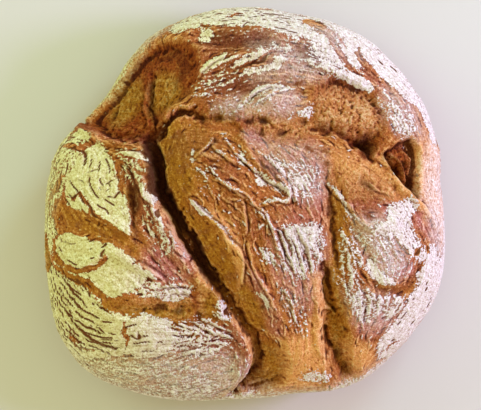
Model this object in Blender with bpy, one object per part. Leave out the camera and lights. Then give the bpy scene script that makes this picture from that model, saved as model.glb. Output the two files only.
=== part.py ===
"""A round rye bread loaf, torn open along its folds while it baked.

The loaf is one baked piece, so it is one closed solid.  Its crust is shaped as a sheet: a place on
the crust is named by (east, north), the way to it from the crown along the crust in millimetres, as
if the crust were peeled off and laid flat.  The sheet is laid over a smooth domed loaf, and bulges,
hollows, valleys, folds and tears push it out and in.
"""

import math
from dataclasses import dataclass

import bmesh
import bpy
import numpy as np

MM = 0.001

# The smooth loaf under its relief, in millimetres.
BODY_RADIUS = 124.5
WIDEST_HEIGHT = 34.0
CROWN_HEIGHT = 80.0
SHOULDER_FULLNESS = 2.35  # 2 is an ellipse, more is squarer
FOOT_SHARE = 0.82  # radius of the flat foot, as a share of the widest radius
UNDERSIDE_ROUNDING = 0.9

# Where the outline swells or draws in: bearing in degrees from east, swell, spread in degrees.
SWELLINGS = (
    (-135, 18.0, 16.0),
    (140, -13.5, 14.5),
    (-32, 6.5, 17.0),
    (-85, -5.0, 14.0),
    (85, -2.0, 22.0),
    (45, 2.5, 20.0),
)

# The mesh.
CELLS_ACROSS = 220
MOST_TRIANGLES = 9200
PROFILE_STEPS = 400
FOOT_FADE = (150.0, 182.0)  # the relief dies out between these distances from the crown

# The crust's unevenness: size of the waves, and how far they move the crust or shift an edge.
EDGE_WANDER = ((13.0, 1.6), (5.0, 0.7))
CRUST_WAVES = ((42.0, 1.3), (17.0, 0.7))
CRUMB_WAVES = ((11.0, 1.5), (5.5, 0.9))
SEED = 11

CRUST_COLOUR = (0.42, 0.19, 0.07, 1.0)
CRUST_ROUGHNESS = 0.85


@dataclass(frozen=True)
class Bulge:
    """A soft round swelling of the crust."""

    centre: tuple
    length: float
    width: float
    bearing: float
    height: float


@dataclass(frozen=True)
class Stroke:
    """A way along the crust, with a wall or slope of its own on each side.

    amounts are the depth or height at even steps along the route, from its start to its end.
    """

    route: tuple
    amounts: tuple
    left: float
    right: float


@dataclass(frozen=True)
class Hollow:
    """An area of bare crumb where the crust has pulled away, inside a closed outline."""

    outline: tuple
    depth: float
    slope: float


BULGES = (
    Bulge((-80, -26), 52, 40, 100, 6.5),  # the west lobe
    Bulge((-112, 30), 26, 17, 120, 3.5),  # its upper shoulder
    Bulge((-2, 4), 62, 34, 127, 6.0),  # the heart between the two long tears
    Bulge((30, -84), 30, 17, 110, 3.0),  # the heart's lower end
    Bulge((88, -24), 48, 28, 82, 6.0),  # the east lobe
    Bulge((14, 100), 62, 19, 0, 5.0),  # the north crescent
    Bulge((97, 58), 36, 16, 125, 4.0),  # the crescent's east end
    Bulge((15, 62), 15, 9, 8, 4.5),  # the knob on the crown's far side
    Bulge((24, 24), 14, 11, 30, 2.0),  # the dusted hump beside the crown
    Bulge((-66, -66), 40, 16, -20, 3.0),  # the lobe below its cross tear
)

HOLLOWS = (
    Hollow(((-112, 62), (-100, 78), (-86, 96), (-64, 106), (-42, 104), (-29, 90), (-32, 70),
            (-48, 60), (-66, 45), (-92, 47)), 6.5, 9.0),
    Hollow(((40, 66), (52, 76), (68, 72), (82, 60), (84, 46), (77, 32), (66, 38), (52, 45),
            (40, 50)), 4.5, 6.0),
    Hollow(((7, -82), (22, -86), (28, -100), (22, -116), (8, -128), (-4, -122), (8, -104)), 4.0, 5.0),
    Hollow(((84, 30), (96, 40), (105, 24), (109, 8), (98, 14), (88, 22)), 5.0, 4.0),
    Hollow(((52, -62), (61, -72), (64, -92), (62, -108), (54, -96), (49, -78)), 3.5, 4.0),
)

# Gentle ways: the crust slopes down to them from both sides.
VALLEYS = (
    Stroke(((-58, 44), (-52, 16), (-40, -10), (-26, -34), (-8, -58), (6, -86), (4, -112)),
           (7, 8, 7, 6, 5, 4, 3), 22, 9),
    Stroke(((-30, 50), (-4, 47), (22, 42), (46, 44), (66, 37), (80, 33)), (2, 3, 4, 4, 5, 4), 13, 13),
    Stroke(((50, 16), (52, -4), (53, -26), (50, -48), (51, -72), (58, -98), (68, -124)),
           (3, 5, 5, 6, 6, 5, 4), 14, 11),
    Stroke(((-80, -50), (-66, -58), (-50, -57), (-34, -59), (-22, -56)), (2, 4, 5, 5, 4), 8, 8),
    Stroke(((-28, 104), (-12, 98), (10, 99), (30, 94)), (2, 3, 3, 1), 8, 8),
    Stroke(((56, -4), (64, -18), (72, -34), (76, -50)), (3, 3, 2, 1), 8, 8),
    Stroke(((104, -34), (96, -47), (82, -52), (70, -42)), (1, 3, 3, 1), 6, 6),
)

# Sharp cracks: steep walls on both sides.
TEARS = (
    Stroke(((-143, 76), (-127, 66), (-104, 54), (-84, 45), (-66, 41), (-54, 46)), (1, 7, 6, 6, 7, 5), 5, 4),
    Stroke(((-61, 40), (-56, 26), (-50, 6), (-39, -13), (-28, -32), (-16, -51), (-3, -71), (6, -90),
            (6, -106), (-6, -127)), (7, 13, 13, 12, 11, 8, 6, 6, 5, 4), 5.5, 3.8),
    Stroke(((-54, 45), (-44, 55), (-35, 57), (-27, 52)), (7, 6, 5, 3), 3.2, 3.0),
    Stroke(((-28, 51), (-16, 52), (4, 50), (12, 46), (24, 42), (36, 45)), (3, 4, 3, 5, 3, 2), 3.4, 3.4),
    Stroke(((40, 46), (54, 43), (66, 38), (73, 36), (76, 28)), (3, 4, 4, 10, 5), 4.0, 4.0),
    Stroke(((85, 29), (92, 34), (98, 31)), (5, 9, 6), 4.5, 4.5),
    Stroke(((96, 34), (103, 24), (107, 14), (108, 3)), (6, 9, 8, 3), 5.0, 3.2),
    Stroke(((46, -36), (49, -47), (52, -62)), (5, 9, 6), 3.6, 3.6),
    Stroke(((47, -65), (48, -77), (50, -88)), (5, 7, 4), 3.2, 3.6),
    Stroke(((51, 11), (52, -6), (54, -20), (54, -34)), (2, 4, 3, 2), 3.5, 3.5),
    Stroke(((-78, -54), (-64, -59), (-50, -57), (-38, -60), (-24, -60)), (2, 3, 5, 4, 2), 3.4, 3.4),
    Stroke(((-68, 12), (-66, 0), (-64, -12)), (3, 4, 2), 4.5, 4.0),
    Stroke(((-127, -32), (-124, -37)), (6, 5), 3.5, 3.5),
)

# Folds: the crust stands up along them.
FOLDS = (
    Stroke(((-76, 33), (-62, 23), (-57, 4), (-46, -13), (-35, -31), (-24, -48), (-10, -67), (0, -86),
            (0, -106)), (2, 4, 4, 4, 3, 3, 3, 3, 2), 5, 9),
    Stroke(((-33, 3), (-24, -5), (-13, -17), (-4, -31), (0, -46), (-4, -60)), (2, 3, 3, 3, 2, 1), 6, 6),
    Stroke(((-27, 30), (-14, 29), (2, 26)), (3, 2, 1), 4, 5),
    Stroke(((-20, 22), (-8, 9), (8, -3), (16, -18), (22, -32)), (1, 2, 2, 2, 1), 4, 3),
    Stroke(((0, 41), (6, 28), (15, 17), (26, 6), (14, 1)), (2, 3, 3, 3, 2), 4, 4),
    Stroke(((8, 31), (20, 17), (30, 3)), (1, 2, 2), 3, 3),
    Stroke(((-12, -17), (0, -35), (10, -50), (20, -68)), (2, 3, 3, 2), 5, 4),
    Stroke(((80, 36), (87, 22), (98, 9), (110, -2), (119, -14)), (3, 4, 4, 3, 2), 5, 6),
    Stroke(((43, -46), (43, -66), (44, -88)), (2, 3, 2), 5, 4),
    Stroke(((60, -4), (66, -10), (76, -13), (88, -10)), (1, 2, 3, 2), 5, 6),
    Stroke(((-104, -36), (-90, -33), (-76, -27), (-62, -33), (-52, -42)), (2, 3, 3, 3, 2), 6, 6),
    Stroke(((-104, 6), (-94, -1), (-82, -10), (-68, -16)), (1, 2, 3, 3), 6, 5),
    Stroke(((-66, 86), (-66, 68), (-64, 50)), (3, 4, 2), 4, 3),
    Stroke(((-24, 80), (-8, 88), (8, 90), (28, 86), (52, 80), (70, 74)), (2, 3, 2, 2, 3, 2), 7, 5),
)


def smooth_step(low, high, value):
    """0 below low, 1 above high, and smooth between."""
    share = np.clip((value - low) / (high - low), 0.0, 1.0)
    return share * share * (3.0 - 2.0 * share)


def outline_radius(turn):
    """Radius of the loaf at its widest height, at the bearing turn in radians."""
    radius = np.full_like(turn, BODY_RADIUS)
    for bearing, swell, spread in SWELLINGS:
        off = 1.0 - np.cos(turn - math.radians(bearing))
        radius += swell * np.exp(-off / math.radians(spread) ** 2)
    return radius


def side_profile():
    """Way along the crust from the crown, share of the radius and height, down to the foot."""
    over = np.linspace(0.0, math.pi / 2, PROFILE_STEPS)
    under = over[1:]
    power = 2.0 / SHOULDER_FULLNESS
    share = np.concatenate((
        np.sin(over) ** power,
        FOOT_SHARE + (1.0 - FOOT_SHARE) * np.cos(under) ** UNDERSIDE_ROUNDING,
    ))
    height = np.concatenate((
        WIDEST_HEIGHT + (CROWN_HEIGHT - WIDEST_HEIGHT) * np.cos(over) ** power,
        WIDEST_HEIGHT * (1.0 - np.sin(under)),
    ))
    steps = np.hypot(np.diff(share * BODY_RADIUS), np.diff(height))
    return np.concatenate(((0.0,), np.cumsum(steps))), share, height


PROFILE = side_profile()
SHEET_RADIUS = PROFILE[0][-1]


def lay_on_loaf(east, north):
    """Position on the smooth loaf of the places (east, north) of the crust."""
    way, share, height = PROFILE
    turn = np.arctan2(north, east)
    distance = np.hypot(east, north)
    at_share = np.interp(distance, way, share)
    # The outline's swellings grow from nothing at the crown.
    radius = at_share * (BODY_RADIUS + (outline_radius(turn) - BODY_RADIUS) * at_share ** 2)
    return np.stack((radius * np.cos(turn), radius * np.sin(turn), np.interp(distance, way, height)), -1)


def outward(east, north):
    """Unit vectors that stand on the smooth loaf."""
    step = 0.8
    run_east = lay_on_loaf(east + step, north) - lay_on_loaf(east - step, north)
    run_north = lay_on_loaf(east, north + step) - lay_on_loaf(east, north - step)
    normal = np.cross(run_east, run_north)
    return normal / np.maximum(np.linalg.norm(normal, axis=-1, keepdims=True), 1e-9)


def wave(east, north, size, seed):
    """Smooth random waves between about -1 and 1, whose crests lie about size apart."""
    lattice = np.random.default_rng(seed).uniform(-1.0, 1.0, (64, 64))
    column, row = east / size + 32.0, north / size + 32.0
    left, low = np.floor(column).astype(int), np.floor(row).astype(int)
    across = smooth_step(0.0, 1.0, column - left)
    up = smooth_step(0.0, 1.0, row - low)
    corner = [lattice[(low + i) % 64, (left + j) % 64] for i in (0, 1) for j in (0, 1)]
    lower = corner[0] + (corner[1] - corner[0]) * across
    upper = corner[2] + (corner[3] - corner[2]) * across
    return lower + (upper - lower) * up


def waves(east, north, layers, seed):
    """Sum of several layers of waves, each given by its size and its height."""
    total = np.zeros_like(east)
    for number, (size, height) in enumerate(layers):
        total += height * wave(east, north, size, seed + number)
    return total


def smooth_route(points, closed=False, spacing=3.0):
    """Points about spacing apart on the curve that passes smoothly through all the given ones."""
    points = np.array(points, float)
    if closed:
        ring = np.concatenate((points[-1:], points, points[:2]))
    else:
        ring = np.concatenate((2 * points[:1] - points[1:2], points, 2 * points[-1:] - points[-2:-1]))
    curve = []
    for before, start, end, after in zip(ring, ring[1:], ring[2:], ring[3:]):
        count = max(2, round(np.linalg.norm(end - start) / spacing))
        t = np.arange(count)[:, None] / count
        curve.append(0.5 * (2 * start + (end - before) * t
                            + (2 * before - 5 * start + 4 * end - after) * t ** 2
                            + (3 * start - before - 3 * end + after) * t ** 3))
    if not closed:
        curve.append(points[-1:])
    return np.concatenate(curve)


def follow(route, east, north, closed=False):
    """Distance to the route, side (1 on its left hand, -1 on its right) and share of its length."""
    route = smooth_route(route, closed)
    ends = np.roll(route, -1, axis=0) if closed else route[1:]
    starts = route if closed else route[:-1]
    lengths = np.linalg.norm(ends - starts, axis=1)
    passed = np.concatenate(((0.0,), np.cumsum(lengths)))
    nearest = np.full(east.shape, np.inf)
    side = np.ones(east.shape)
    share = np.zeros(east.shape)
    for start, end, length, before in zip(starts, ends, lengths, passed):
        ahead = (end - start) / length
        run = np.clip((east - start[0]) * ahead[0] + (north - start[1]) * ahead[1], 0.0, length)
        off_east = east - start[0] - run * ahead[0]
        off_north = north - start[1] - run * ahead[1]
        distance = np.hypot(off_east, off_north)
        closer = distance < nearest
        nearest[closer] = distance[closer]
        side[closer] = np.sign(ahead[0] * off_north - ahead[1] * off_east)[closer]
        share[closer] = ((before + run) / passed[-1])[closer]
    return nearest, side, share


def stroke_field(strokes, east, north):
    """The largest amount that any of the strokes gives at each place."""
    field = np.zeros_like(east)
    for stroke in strokes:
        reach = max(stroke.left, stroke.right)
        stations = np.array(stroke.route, float)
        low, high = stations.min(axis=0) - reach - 4.0, stations.max(axis=0) + reach + 4.0
        near = (east > low[0]) & (east < high[0]) & (north > low[1]) & (north < high[1])
        distance, side, share = follow(stroke.route, east[near], north[near])
        wall = np.where(side > 0, stroke.left, stroke.right)
        slope = 0.5 + 0.5 * np.cos(math.pi * np.clip(distance / wall, 0.0, 1.0))
        amount = np.interp(share, np.linspace(0.0, 1.0, len(stroke.amounts)), stroke.amounts)
        field[near] = np.maximum(field[near], amount * slope)
    return field


def inside(outline, east, north):
    """Whether each place lies inside the closed outline."""
    ring = smooth_route(outline, closed=True)
    crossings = np.zeros(east.shape, int)
    for (east_a, north_a), (east_b, north_b) in zip(ring, np.roll(ring, -1, axis=0)):
        spans = (north_a > north) != (north_b > north)
        meets = east_a + (north - north_a) * (east_b - east_a) / (north_b - north_a + 1e-12)
        crossings += spans & (east < meets)
    return crossings % 2 == 1


def hollow_field(east, north):
    """Depth of the bare crumb below the crust, and how much of each place is bare crumb."""
    depth = np.zeros_like(east)
    bare = np.zeros_like(east)
    for hollow in HOLLOWS:
        distance, _, _ = follow(hollow.outline, east, north, closed=True)
        within = np.where(inside(hollow.outline, east, north), distance, -distance)
        edge = smooth_step(-0.4 * hollow.slope, 0.6 * hollow.slope, within)
        depth = np.maximum(depth, hollow.depth * edge)
        bare = np.maximum(bare, edge)
    return depth, bare


def bulge_field(east, north):
    """Height of the soft swellings."""
    rise = np.zeros_like(east)
    for bulge in BULGES:
        turn = math.radians(bulge.bearing)
        off_east, off_north = east - bulge.centre[0], north - bulge.centre[1]
        along = (off_east * math.cos(turn) + off_north * math.sin(turn)) / bulge.length
        across = (off_north * math.cos(turn) - off_east * math.sin(turn)) / bulge.width
        rise += bulge.height * np.exp(-1.4 * (along ** 2 + across ** 2))
    return rise


def crust_relief(east, north):
    """How far the crust stands out from the smooth loaf at each place."""
    astray_east = east + waves(east, north, EDGE_WANDER, SEED)
    astray_north = north + waves(east, north, EDGE_WANDER, SEED + 10)
    sunk, bare = hollow_field(astray_east, astray_north)
    relief = bulge_field(east, north) - sunk
    relief -= stroke_field(VALLEYS, astray_east, astray_north)
    relief += stroke_field(FOLDS, astray_east, astray_north)
    relief -= stroke_field(TEARS, astray_east, astray_north)
    relief += waves(east, north, CRUST_WAVES, SEED + 20)
    relief += bare * waves(east, north, CRUMB_WAVES, SEED + 30)
    return relief * (1.0 - smooth_step(*FOOT_FADE, np.hypot(east, north)))


def crust_sheet():
    """Places of the crust on a square grid that is wrapped on to a disc with even cells."""
    steps = np.linspace(-1.0, 1.0, CELLS_ACROSS + 1)
    across, up = np.meshgrid(steps, steps)
    upright = np.abs(up) > np.abs(across)
    reach = np.where(upright, up, across)
    ratio = np.where(upright, across, up) / np.where(reach == 0.0, 1.0, reach)
    turn = np.where(upright, math.pi / 2 - ratio * math.pi / 4, ratio * math.pi / 4)
    return SHEET_RADIUS * reach * np.cos(turn), SHEET_RADIUS * reach * np.sin(turn)


def crust_mesh():
    """The whole crust as an open sheet, from the crown down to the edge of the foot."""
    east, north = crust_sheet()
    points = lay_on_loaf(east, north) + outward(east, north) * crust_relief(east, north)[..., None]
    points[..., 2] = np.maximum(points[..., 2], 0.0)
    points[..., :2] -= (points[..., :2].min(axis=(0, 1)) + points[..., :2].max(axis=(0, 1))) / 2
    row = CELLS_ACROSS + 1
    corner = (np.arange(CELLS_ACROSS)[:, None] * row + np.arange(CELLS_ACROSS)).ravel()
    faces = np.stack((corner, corner + 1, corner + row + 1, corner + row), -1)
    mesh = bpy.data.meshes.new("crust")
    mesh.from_pydata((points.reshape(-1, 3) * MM).tolist(), [], faces.tolist())
    return mesh


def thinned(mesh):
    """The same crust with large faces where it is smooth and small ones where it is torn."""
    sheet = bpy.data.objects.new("sheet", mesh)
    bpy.context.scene.collection.objects.link(sheet)
    decimate = sheet.modifiers.new("Thin", "DECIMATE")
    decimate.ratio = MOST_TRIANGLES / (2 * len(mesh.polygons))
    graph = bpy.context.evaluated_depsgraph_get()
    result = bpy.data.meshes.new_from_object(sheet.evaluated_get(graph))
    bpy.data.objects.remove(sheet)
    return result


def close_foot(mesh):
    """Closes the sheet with the flat face that the loaf stands on."""
    shape = bmesh.new()
    shape.from_mesh(mesh)
    rim = [edge for edge in shape.edges if edge.is_boundary]
    for edge in rim:
        for vert in edge.verts:
            vert.co.z = 0.0
    bmesh.ops.contextual_create(shape, geom=rim)
    bmesh.ops.recalc_face_normals(shape, faces=shape.faces)
    shape.to_mesh(mesh)
    shape.free()


def crust_material():
    """Browned rye crust."""
    material = bpy.data.materials.new("rye crust")
    material.use_nodes = True
    shader = material.node_tree.nodes["Principled BSDF"]
    shader.inputs["Base Color"].default_value = CRUST_COLOUR
    shader.inputs["Roughness"].default_value = CRUST_ROUGHNESS
    shader.inputs["Metallic"].default_value = 0.0
    return material


def build_loaf():
    """The loaf, standing on its flat foot."""
    mesh = thinned(crust_mesh())
    close_foot(mesh)
    mesh.name = "loaf"
    mesh.materials.append(crust_material())
    mesh.shade_smooth()
    loaf = bpy.data.objects.new("loaf", mesh)
    bpy.context.scene.collection.objects.link(loaf)


for leftover in list(bpy.data.objects):
    bpy.data.objects.remove(leftover)
build_loaf()
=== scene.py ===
"""A round rye bread loaf with a floured, torn crust.

The loaf is one piece of bread.  Its surface is shaped as a sheet of crust that is laid over a smooth
domed body: a place on the crust is named by (east, north), the way to it from the crown along the
crust in millimetres.  Tables of tears, folds, hollows and dustings say what happened to the crust
while it proved and baked, and the classes turn them into a mesh and its finish.  The finish also
paints shade into tears, pits, hollows and creases, and highlights along small crests.
"""

from __future__ import annotations

import logging
import math
from dataclasses import dataclass, field
from enum import Enum
from typing import Iterable, Sequence

import bpy
import numpy as np
from mathutils import Matrix, Vector

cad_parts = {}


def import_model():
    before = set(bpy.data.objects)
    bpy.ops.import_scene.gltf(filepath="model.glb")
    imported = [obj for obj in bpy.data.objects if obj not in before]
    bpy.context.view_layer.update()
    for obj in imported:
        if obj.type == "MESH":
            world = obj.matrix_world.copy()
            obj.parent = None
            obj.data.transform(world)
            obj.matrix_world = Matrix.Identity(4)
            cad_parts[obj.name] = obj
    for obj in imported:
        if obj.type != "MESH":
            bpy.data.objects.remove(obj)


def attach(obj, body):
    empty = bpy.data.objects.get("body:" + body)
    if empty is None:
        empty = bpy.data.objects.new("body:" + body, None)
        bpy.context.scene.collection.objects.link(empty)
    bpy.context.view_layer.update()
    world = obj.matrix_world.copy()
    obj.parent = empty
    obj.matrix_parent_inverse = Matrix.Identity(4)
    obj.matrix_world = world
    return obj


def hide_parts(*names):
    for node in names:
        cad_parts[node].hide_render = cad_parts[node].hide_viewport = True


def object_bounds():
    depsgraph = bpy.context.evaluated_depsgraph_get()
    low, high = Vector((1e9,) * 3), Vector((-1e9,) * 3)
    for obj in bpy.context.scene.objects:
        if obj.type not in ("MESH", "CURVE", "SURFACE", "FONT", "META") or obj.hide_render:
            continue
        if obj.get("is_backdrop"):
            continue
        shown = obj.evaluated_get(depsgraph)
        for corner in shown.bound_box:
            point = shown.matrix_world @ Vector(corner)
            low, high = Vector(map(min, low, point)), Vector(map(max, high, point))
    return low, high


LOG = logging.getLogger("rye_loaf")
MM = 0.001
SEED = 11

Route = tuple[tuple[float, float], ...]


def smooth_step(low: float, high: float, value: np.ndarray) -> np.ndarray:
    """Blend that is 0 below low, 1 above high and smooth between.

    Args:
        low: where the blend starts.
        high: where it ends.
        value: the values to blend.

    Returns:
        The blend, of the same shape as value.
    """
    share = np.clip((value - low) / (high - low), 0.0, 1.0)
    return share * share * (3.0 - 2.0 * share)


def smooth_route(points: Route, closed: bool = False, spacing: float = 3.0) -> np.ndarray:
    """Curve that passes smoothly through all the given points.

    Args:
        points: the stations of the route.
        closed: whether the route returns to its start.
        spacing: distance between the curve's points.

    Returns:
        The curve's points, one a row.
    """
    stations = np.array(points, float)
    if closed:
        ring = np.concatenate((stations[-1:], stations, stations[:2]))
    else:
        ring = np.concatenate((2 * stations[:1] - stations[1:2], stations, 2 * stations[-1:] - stations[-2:-1]))
    curve = []
    for before, start, end, after in zip(ring, ring[1:], ring[2:], ring[3:]):
        count = max(2, round(np.linalg.norm(end - start) / spacing))
        t = np.arange(count)[:, None] / count
        curve.append(0.5 * (2 * start + (end - before) * t
                            + (2 * before - 5 * start + 4 * end - after) * t ** 2
                            + (3 * start - before - 3 * end + after) * t ** 3))
    if not closed:
        curve.append(stations[-1:])
    return np.concatenate(curve)


@dataclass(frozen=True)
class Course:
    """What following a route gives at each place: distance, side, share of the length and heading."""

    distance: np.ndarray
    side: np.ndarray
    share: np.ndarray
    ahead: np.ndarray


def follow(route: Route, east: np.ndarray, north: np.ndarray, closed: bool = False,
           spacing: float = 3.0) -> Course:
    """Finds the nearest point of a route from each place.

    Args:
        route: the stations of the route.
        east: how far east each place lies.
        north: how far north each place lies.
        closed: whether the route returns to its start.
        spacing: distance between the points of the smoothed route.

    Returns:
        The course of the route as seen from each place.
    """
    curve = smooth_route(route, closed, spacing)
    ends = np.roll(curve, -1, axis=0) if closed else curve[1:]
    starts = curve if closed else curve[:-1]
    lengths = np.linalg.norm(ends - starts, axis=1)
    passed = np.concatenate(((0.0,), np.cumsum(lengths)))
    nearest = np.full(east.shape, np.inf)
    side = np.ones(east.shape)
    share = np.zeros(east.shape)
    heading = np.zeros(east.shape + (2,))
    for start, end, length, before in zip(starts, ends, lengths, passed):
        ahead = (end - start) / length
        run = np.clip((east - start[0]) * ahead[0] + (north - start[1]) * ahead[1], 0.0, length)
        off_east = east - start[0] - run * ahead[0]
        off_north = north - start[1] - run * ahead[1]
        distance = np.hypot(off_east, off_north)
        closer = distance < nearest
        nearest[closer] = distance[closer]
        side[closer] = np.sign(ahead[0] * off_north - ahead[1] * off_east)[closer]
        share[closer] = ((before + run) / passed[-1])[closer]
        heading[closer] = ahead
    return Course(nearest, side, share, heading)


def inside(outline: Route, east: np.ndarray, north: np.ndarray) -> np.ndarray:
    """Whether each place lies inside a closed outline.

    Args:
        outline: the stations of the outline.
        east: how far east each place lies.
        north: how far north each place lies.

    Returns:
        True for the places inside.
    """
    ring = smooth_route(outline, closed=True)
    crossings = np.zeros(east.shape, int)
    for (east_a, north_a), (east_b, north_b) in zip(ring, np.roll(ring, -1, axis=0)):
        spans = (north_a > north) != (north_b > north)
        meets = east_a + (north - north_a) * (east_b - east_a) / (north_b - north_a + 1e-12)
        crossings += spans & (east < meets)
    return crossings % 2 == 1


def near_mask(stations: Route, reach: float, east: np.ndarray, north: np.ndarray) -> np.ndarray:
    """Which places lie in the box round some stations, widened by a reach."""
    points = np.array(stations, float)
    low, high = points.min(axis=0) - reach, points.max(axis=0) + reach
    return (east > low[0]) & (east < high[0]) & (north > low[1]) & (north < high[1])


class Unevenness:
    """Seeded random waves, grains and pores, so that the same loaf comes out every time."""

    LATTICE = 64

    def wave(self, east: np.ndarray, north: np.ndarray, size: float, seed: int) -> np.ndarray:
        """Smooth random waves between about -1 and 1.

        Args:
            east: how far east each place lies.
            north: how far north each place lies.
            size: distance between neighbouring crests.
            seed: which waves to draw.

        Returns:
            The waves' height at each place.
        """
        count = self.LATTICE
        lattice = np.random.default_rng(seed).uniform(-1.0, 1.0, (count, count))
        column, row = east / size + count / 2, north / size + count / 2
        left, low = np.floor(column).astype(int), np.floor(row).astype(int)
        across = smooth_step(0.0, 1.0, column - left)
        up = smooth_step(0.0, 1.0, row - low)
        corner = [lattice[(low + i) % count, (left + j) % count] for i in (0, 1) for j in (0, 1)]
        lower = corner[0] + (corner[1] - corner[0]) * across
        upper = corner[2] + (corner[3] - corner[2]) * across
        return lower + (upper - lower) * up

    def waves(self, east: np.ndarray, north: np.ndarray, layers: Iterable[tuple[float, float]],
              seed: int) -> np.ndarray:
        """Sum of layers of waves, each given by its size and its height."""
        total = np.zeros_like(east)
        for number, (size, height) in enumerate(layers):
            total += height * self.wave(east, north, size, seed + number)
        return total

    def pores(self, east: np.ndarray, north: np.ndarray, size: float, seed: int) -> np.ndarray:
        """Distance to the nearest pore, as a share of the pores' spacing.

        Args:
            east: how far east each place lies.
            north: how far north each place lies.
            size: spacing of the pores.
            seed: which pores to draw.

        Returns:
            0 in the middle of a pore and about 1 farthest from any.
        """
        count = self.LATTICE
        places = np.random.default_rng(seed).uniform(0.0, 1.0, (count, count, 2))
        column, row = east / size, north / size
        left, low = np.floor(column).astype(int), np.floor(row).astype(int)
        nearest = np.full(east.shape, 9.0)
        for i in (-1, 0, 1):
            for j in (-1, 0, 1):
                pore = places[(low + i) % count, (left + j) % count]
                gap = np.hypot(left + j + pore[..., 0] - column, low + i + pore[..., 1] - row)
                nearest = np.minimum(nearest, gap)
        return nearest


NOISE = Unevenness()


@dataclass(frozen=True)
class Bulge:
    """A soft round swelling of the crust."""

    centre: tuple[float, float]
    length: float
    width: float
    bearing: float
    height: float

    def rise(self, east: np.ndarray, north: np.ndarray) -> np.ndarray:
        """Height that the swelling adds at each place."""
        turn = math.radians(self.bearing)
        off_east, off_north = east - self.centre[0], north - self.centre[1]
        along = (off_east * math.cos(turn) + off_north * math.sin(turn)) / self.length
        across = (off_north * math.cos(turn) - off_east * math.sin(turn)) / self.width
        return self.height * np.exp(-1.4 * (along ** 2 + across ** 2))


@dataclass(frozen=True)
class Stroke:
    """A way along the crust, with a wall or slope of its own on each side.

    The amounts are the depth or height at even steps along the route.  A lean pushes the crust on the
    right hand over the bottom of the way, and the floor is the share of the walls that lies level.
    """

    route: Route
    amounts: tuple[float, ...]
    left: float
    right: float
    lean: float = 0.0
    floor: float = 0.0

    def amount(self, share: np.ndarray) -> np.ndarray:
        """Depth or height at a share of the route's length."""
        return np.interp(share, np.linspace(0.0, 1.0, len(self.amounts)), self.amounts)

    def add_to(self, depth: np.ndarray, east: np.ndarray, north: np.ndarray) -> None:
        """Deepens a field of depths wherever this stroke is the deepest."""
        near = near_mask(self.route, max(self.left, self.right) + 5.0, east, north)
        course = follow(self.route, east[near], north[near])
        wall = np.where(course.side > 0, self.left, self.right)
        fall = np.clip((course.distance / wall - self.floor) / (1.0 - self.floor), 0.0, 1.0)
        slope = 0.5 + 0.5 * np.cos(math.pi * fall)
        depth[near] = np.maximum(depth[near], self.amount(course.share) * slope)

    def edge_to(self, crest: np.ndarray, groove: np.ndarray, east: np.ndarray, north: np.ndarray) -> None:
        """Marks the top of a fold and the crease at the foot of its steep side, where the finish paints a highlight
        and shade.
        """
        near = near_mask(self.route, 5.0, east, north)
        course = follow(self.route, east[near], north[near], spacing=1.5)
        amount = np.minimum(1.0, self.amount(course.share) / 1.4)
        steep = course.side * (self.right - self.left) > 0
        foot = min(self.left, self.right) + 0.3
        top = amount * np.exp(-0.5 * (course.distance / 0.5) ** 2)
        fold = amount * np.exp(-0.5 * ((course.distance - foot) / 0.5) ** 2) * steep
        crest[near] = np.maximum(crest[near], top)
        groove[near] = np.maximum(groove[near], fold)


@dataclass(frozen=True)
class Hollow:
    """An area of bare crumb where the crust has pulled away, inside a closed outline."""

    outline: Route
    depth: float
    slope: float

    def edge(self, east: np.ndarray, north: np.ndarray) -> np.ndarray:
        """How much of each place lies in the hollow."""
        course = follow(self.outline, east, north, closed=True)
        within = np.where(inside(self.outline, east, north), course.distance, -course.distance)
        return smooth_step(-0.4 * self.slope, 0.6 * self.slope, within)


class Coat(Enum):
    """What lies on a part of the crust, or what shows there."""

    FLOUR = "flour"
    SMEAR = "smear"
    BARE = "bare"
    DUST = "dust"
    CRUMB = "crumb"
    OCHRE = "ochre"
    BLUSH = "blush"
    AMBER = "amber"
    BAKED = "baked"
    # Dark crumb in tear floors and pits, with painted shade there.
    DARK = "dark"
    CRACK = "crack"
    CRAZED = "crazed"


@dataclass(frozen=True)
class Patch:
    """A coat inside a closed outline, which fades out over its feather."""

    outline: Route
    strength: float = 1.0
    feather: float = 3.0

    def cover(self, east: np.ndarray, north: np.ndarray, cover: np.ndarray) -> None:
        """Raises a field of cover inside the patch."""
        near = near_mask(self.outline, self.feather + 3.0, east, north)
        places = east[near], north[near]
        gap = follow(self.outline, *places, closed=True).distance
        within = np.where(inside(self.outline, *places), gap, -gap)
        share = np.clip(0.5 + within / (2.0 * self.feather), 0.0, 1.0)
        cover[near] = np.maximum(cover[near], self.strength * share)


@dataclass(frozen=True)
class Streak:
    """A coat along a route, half of it gone at the half width and tapered at its ends."""

    route: Route
    width: float
    strength: float = 1.0
    feather: float = 1.3

    def cover(self, east: np.ndarray, north: np.ndarray, cover: np.ndarray) -> None:
        """Raises a field of cover along the streak."""
        near = near_mask(self.route, self.width + self.feather + 1.0, east, north)
        course = follow(self.route, east[near], north[near], spacing=1.5)
        ends = np.minimum(course.share, 1.0 - course.share)
        width = self.width * (0.35 + 0.65 * smooth_step(0.0, 0.25, ends))
        share = np.clip(0.5 + (width - course.distance) / (2.0 * self.feather), 0.0, 1.0)
        cover[near] = np.maximum(cover[near], self.strength * share)


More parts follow.
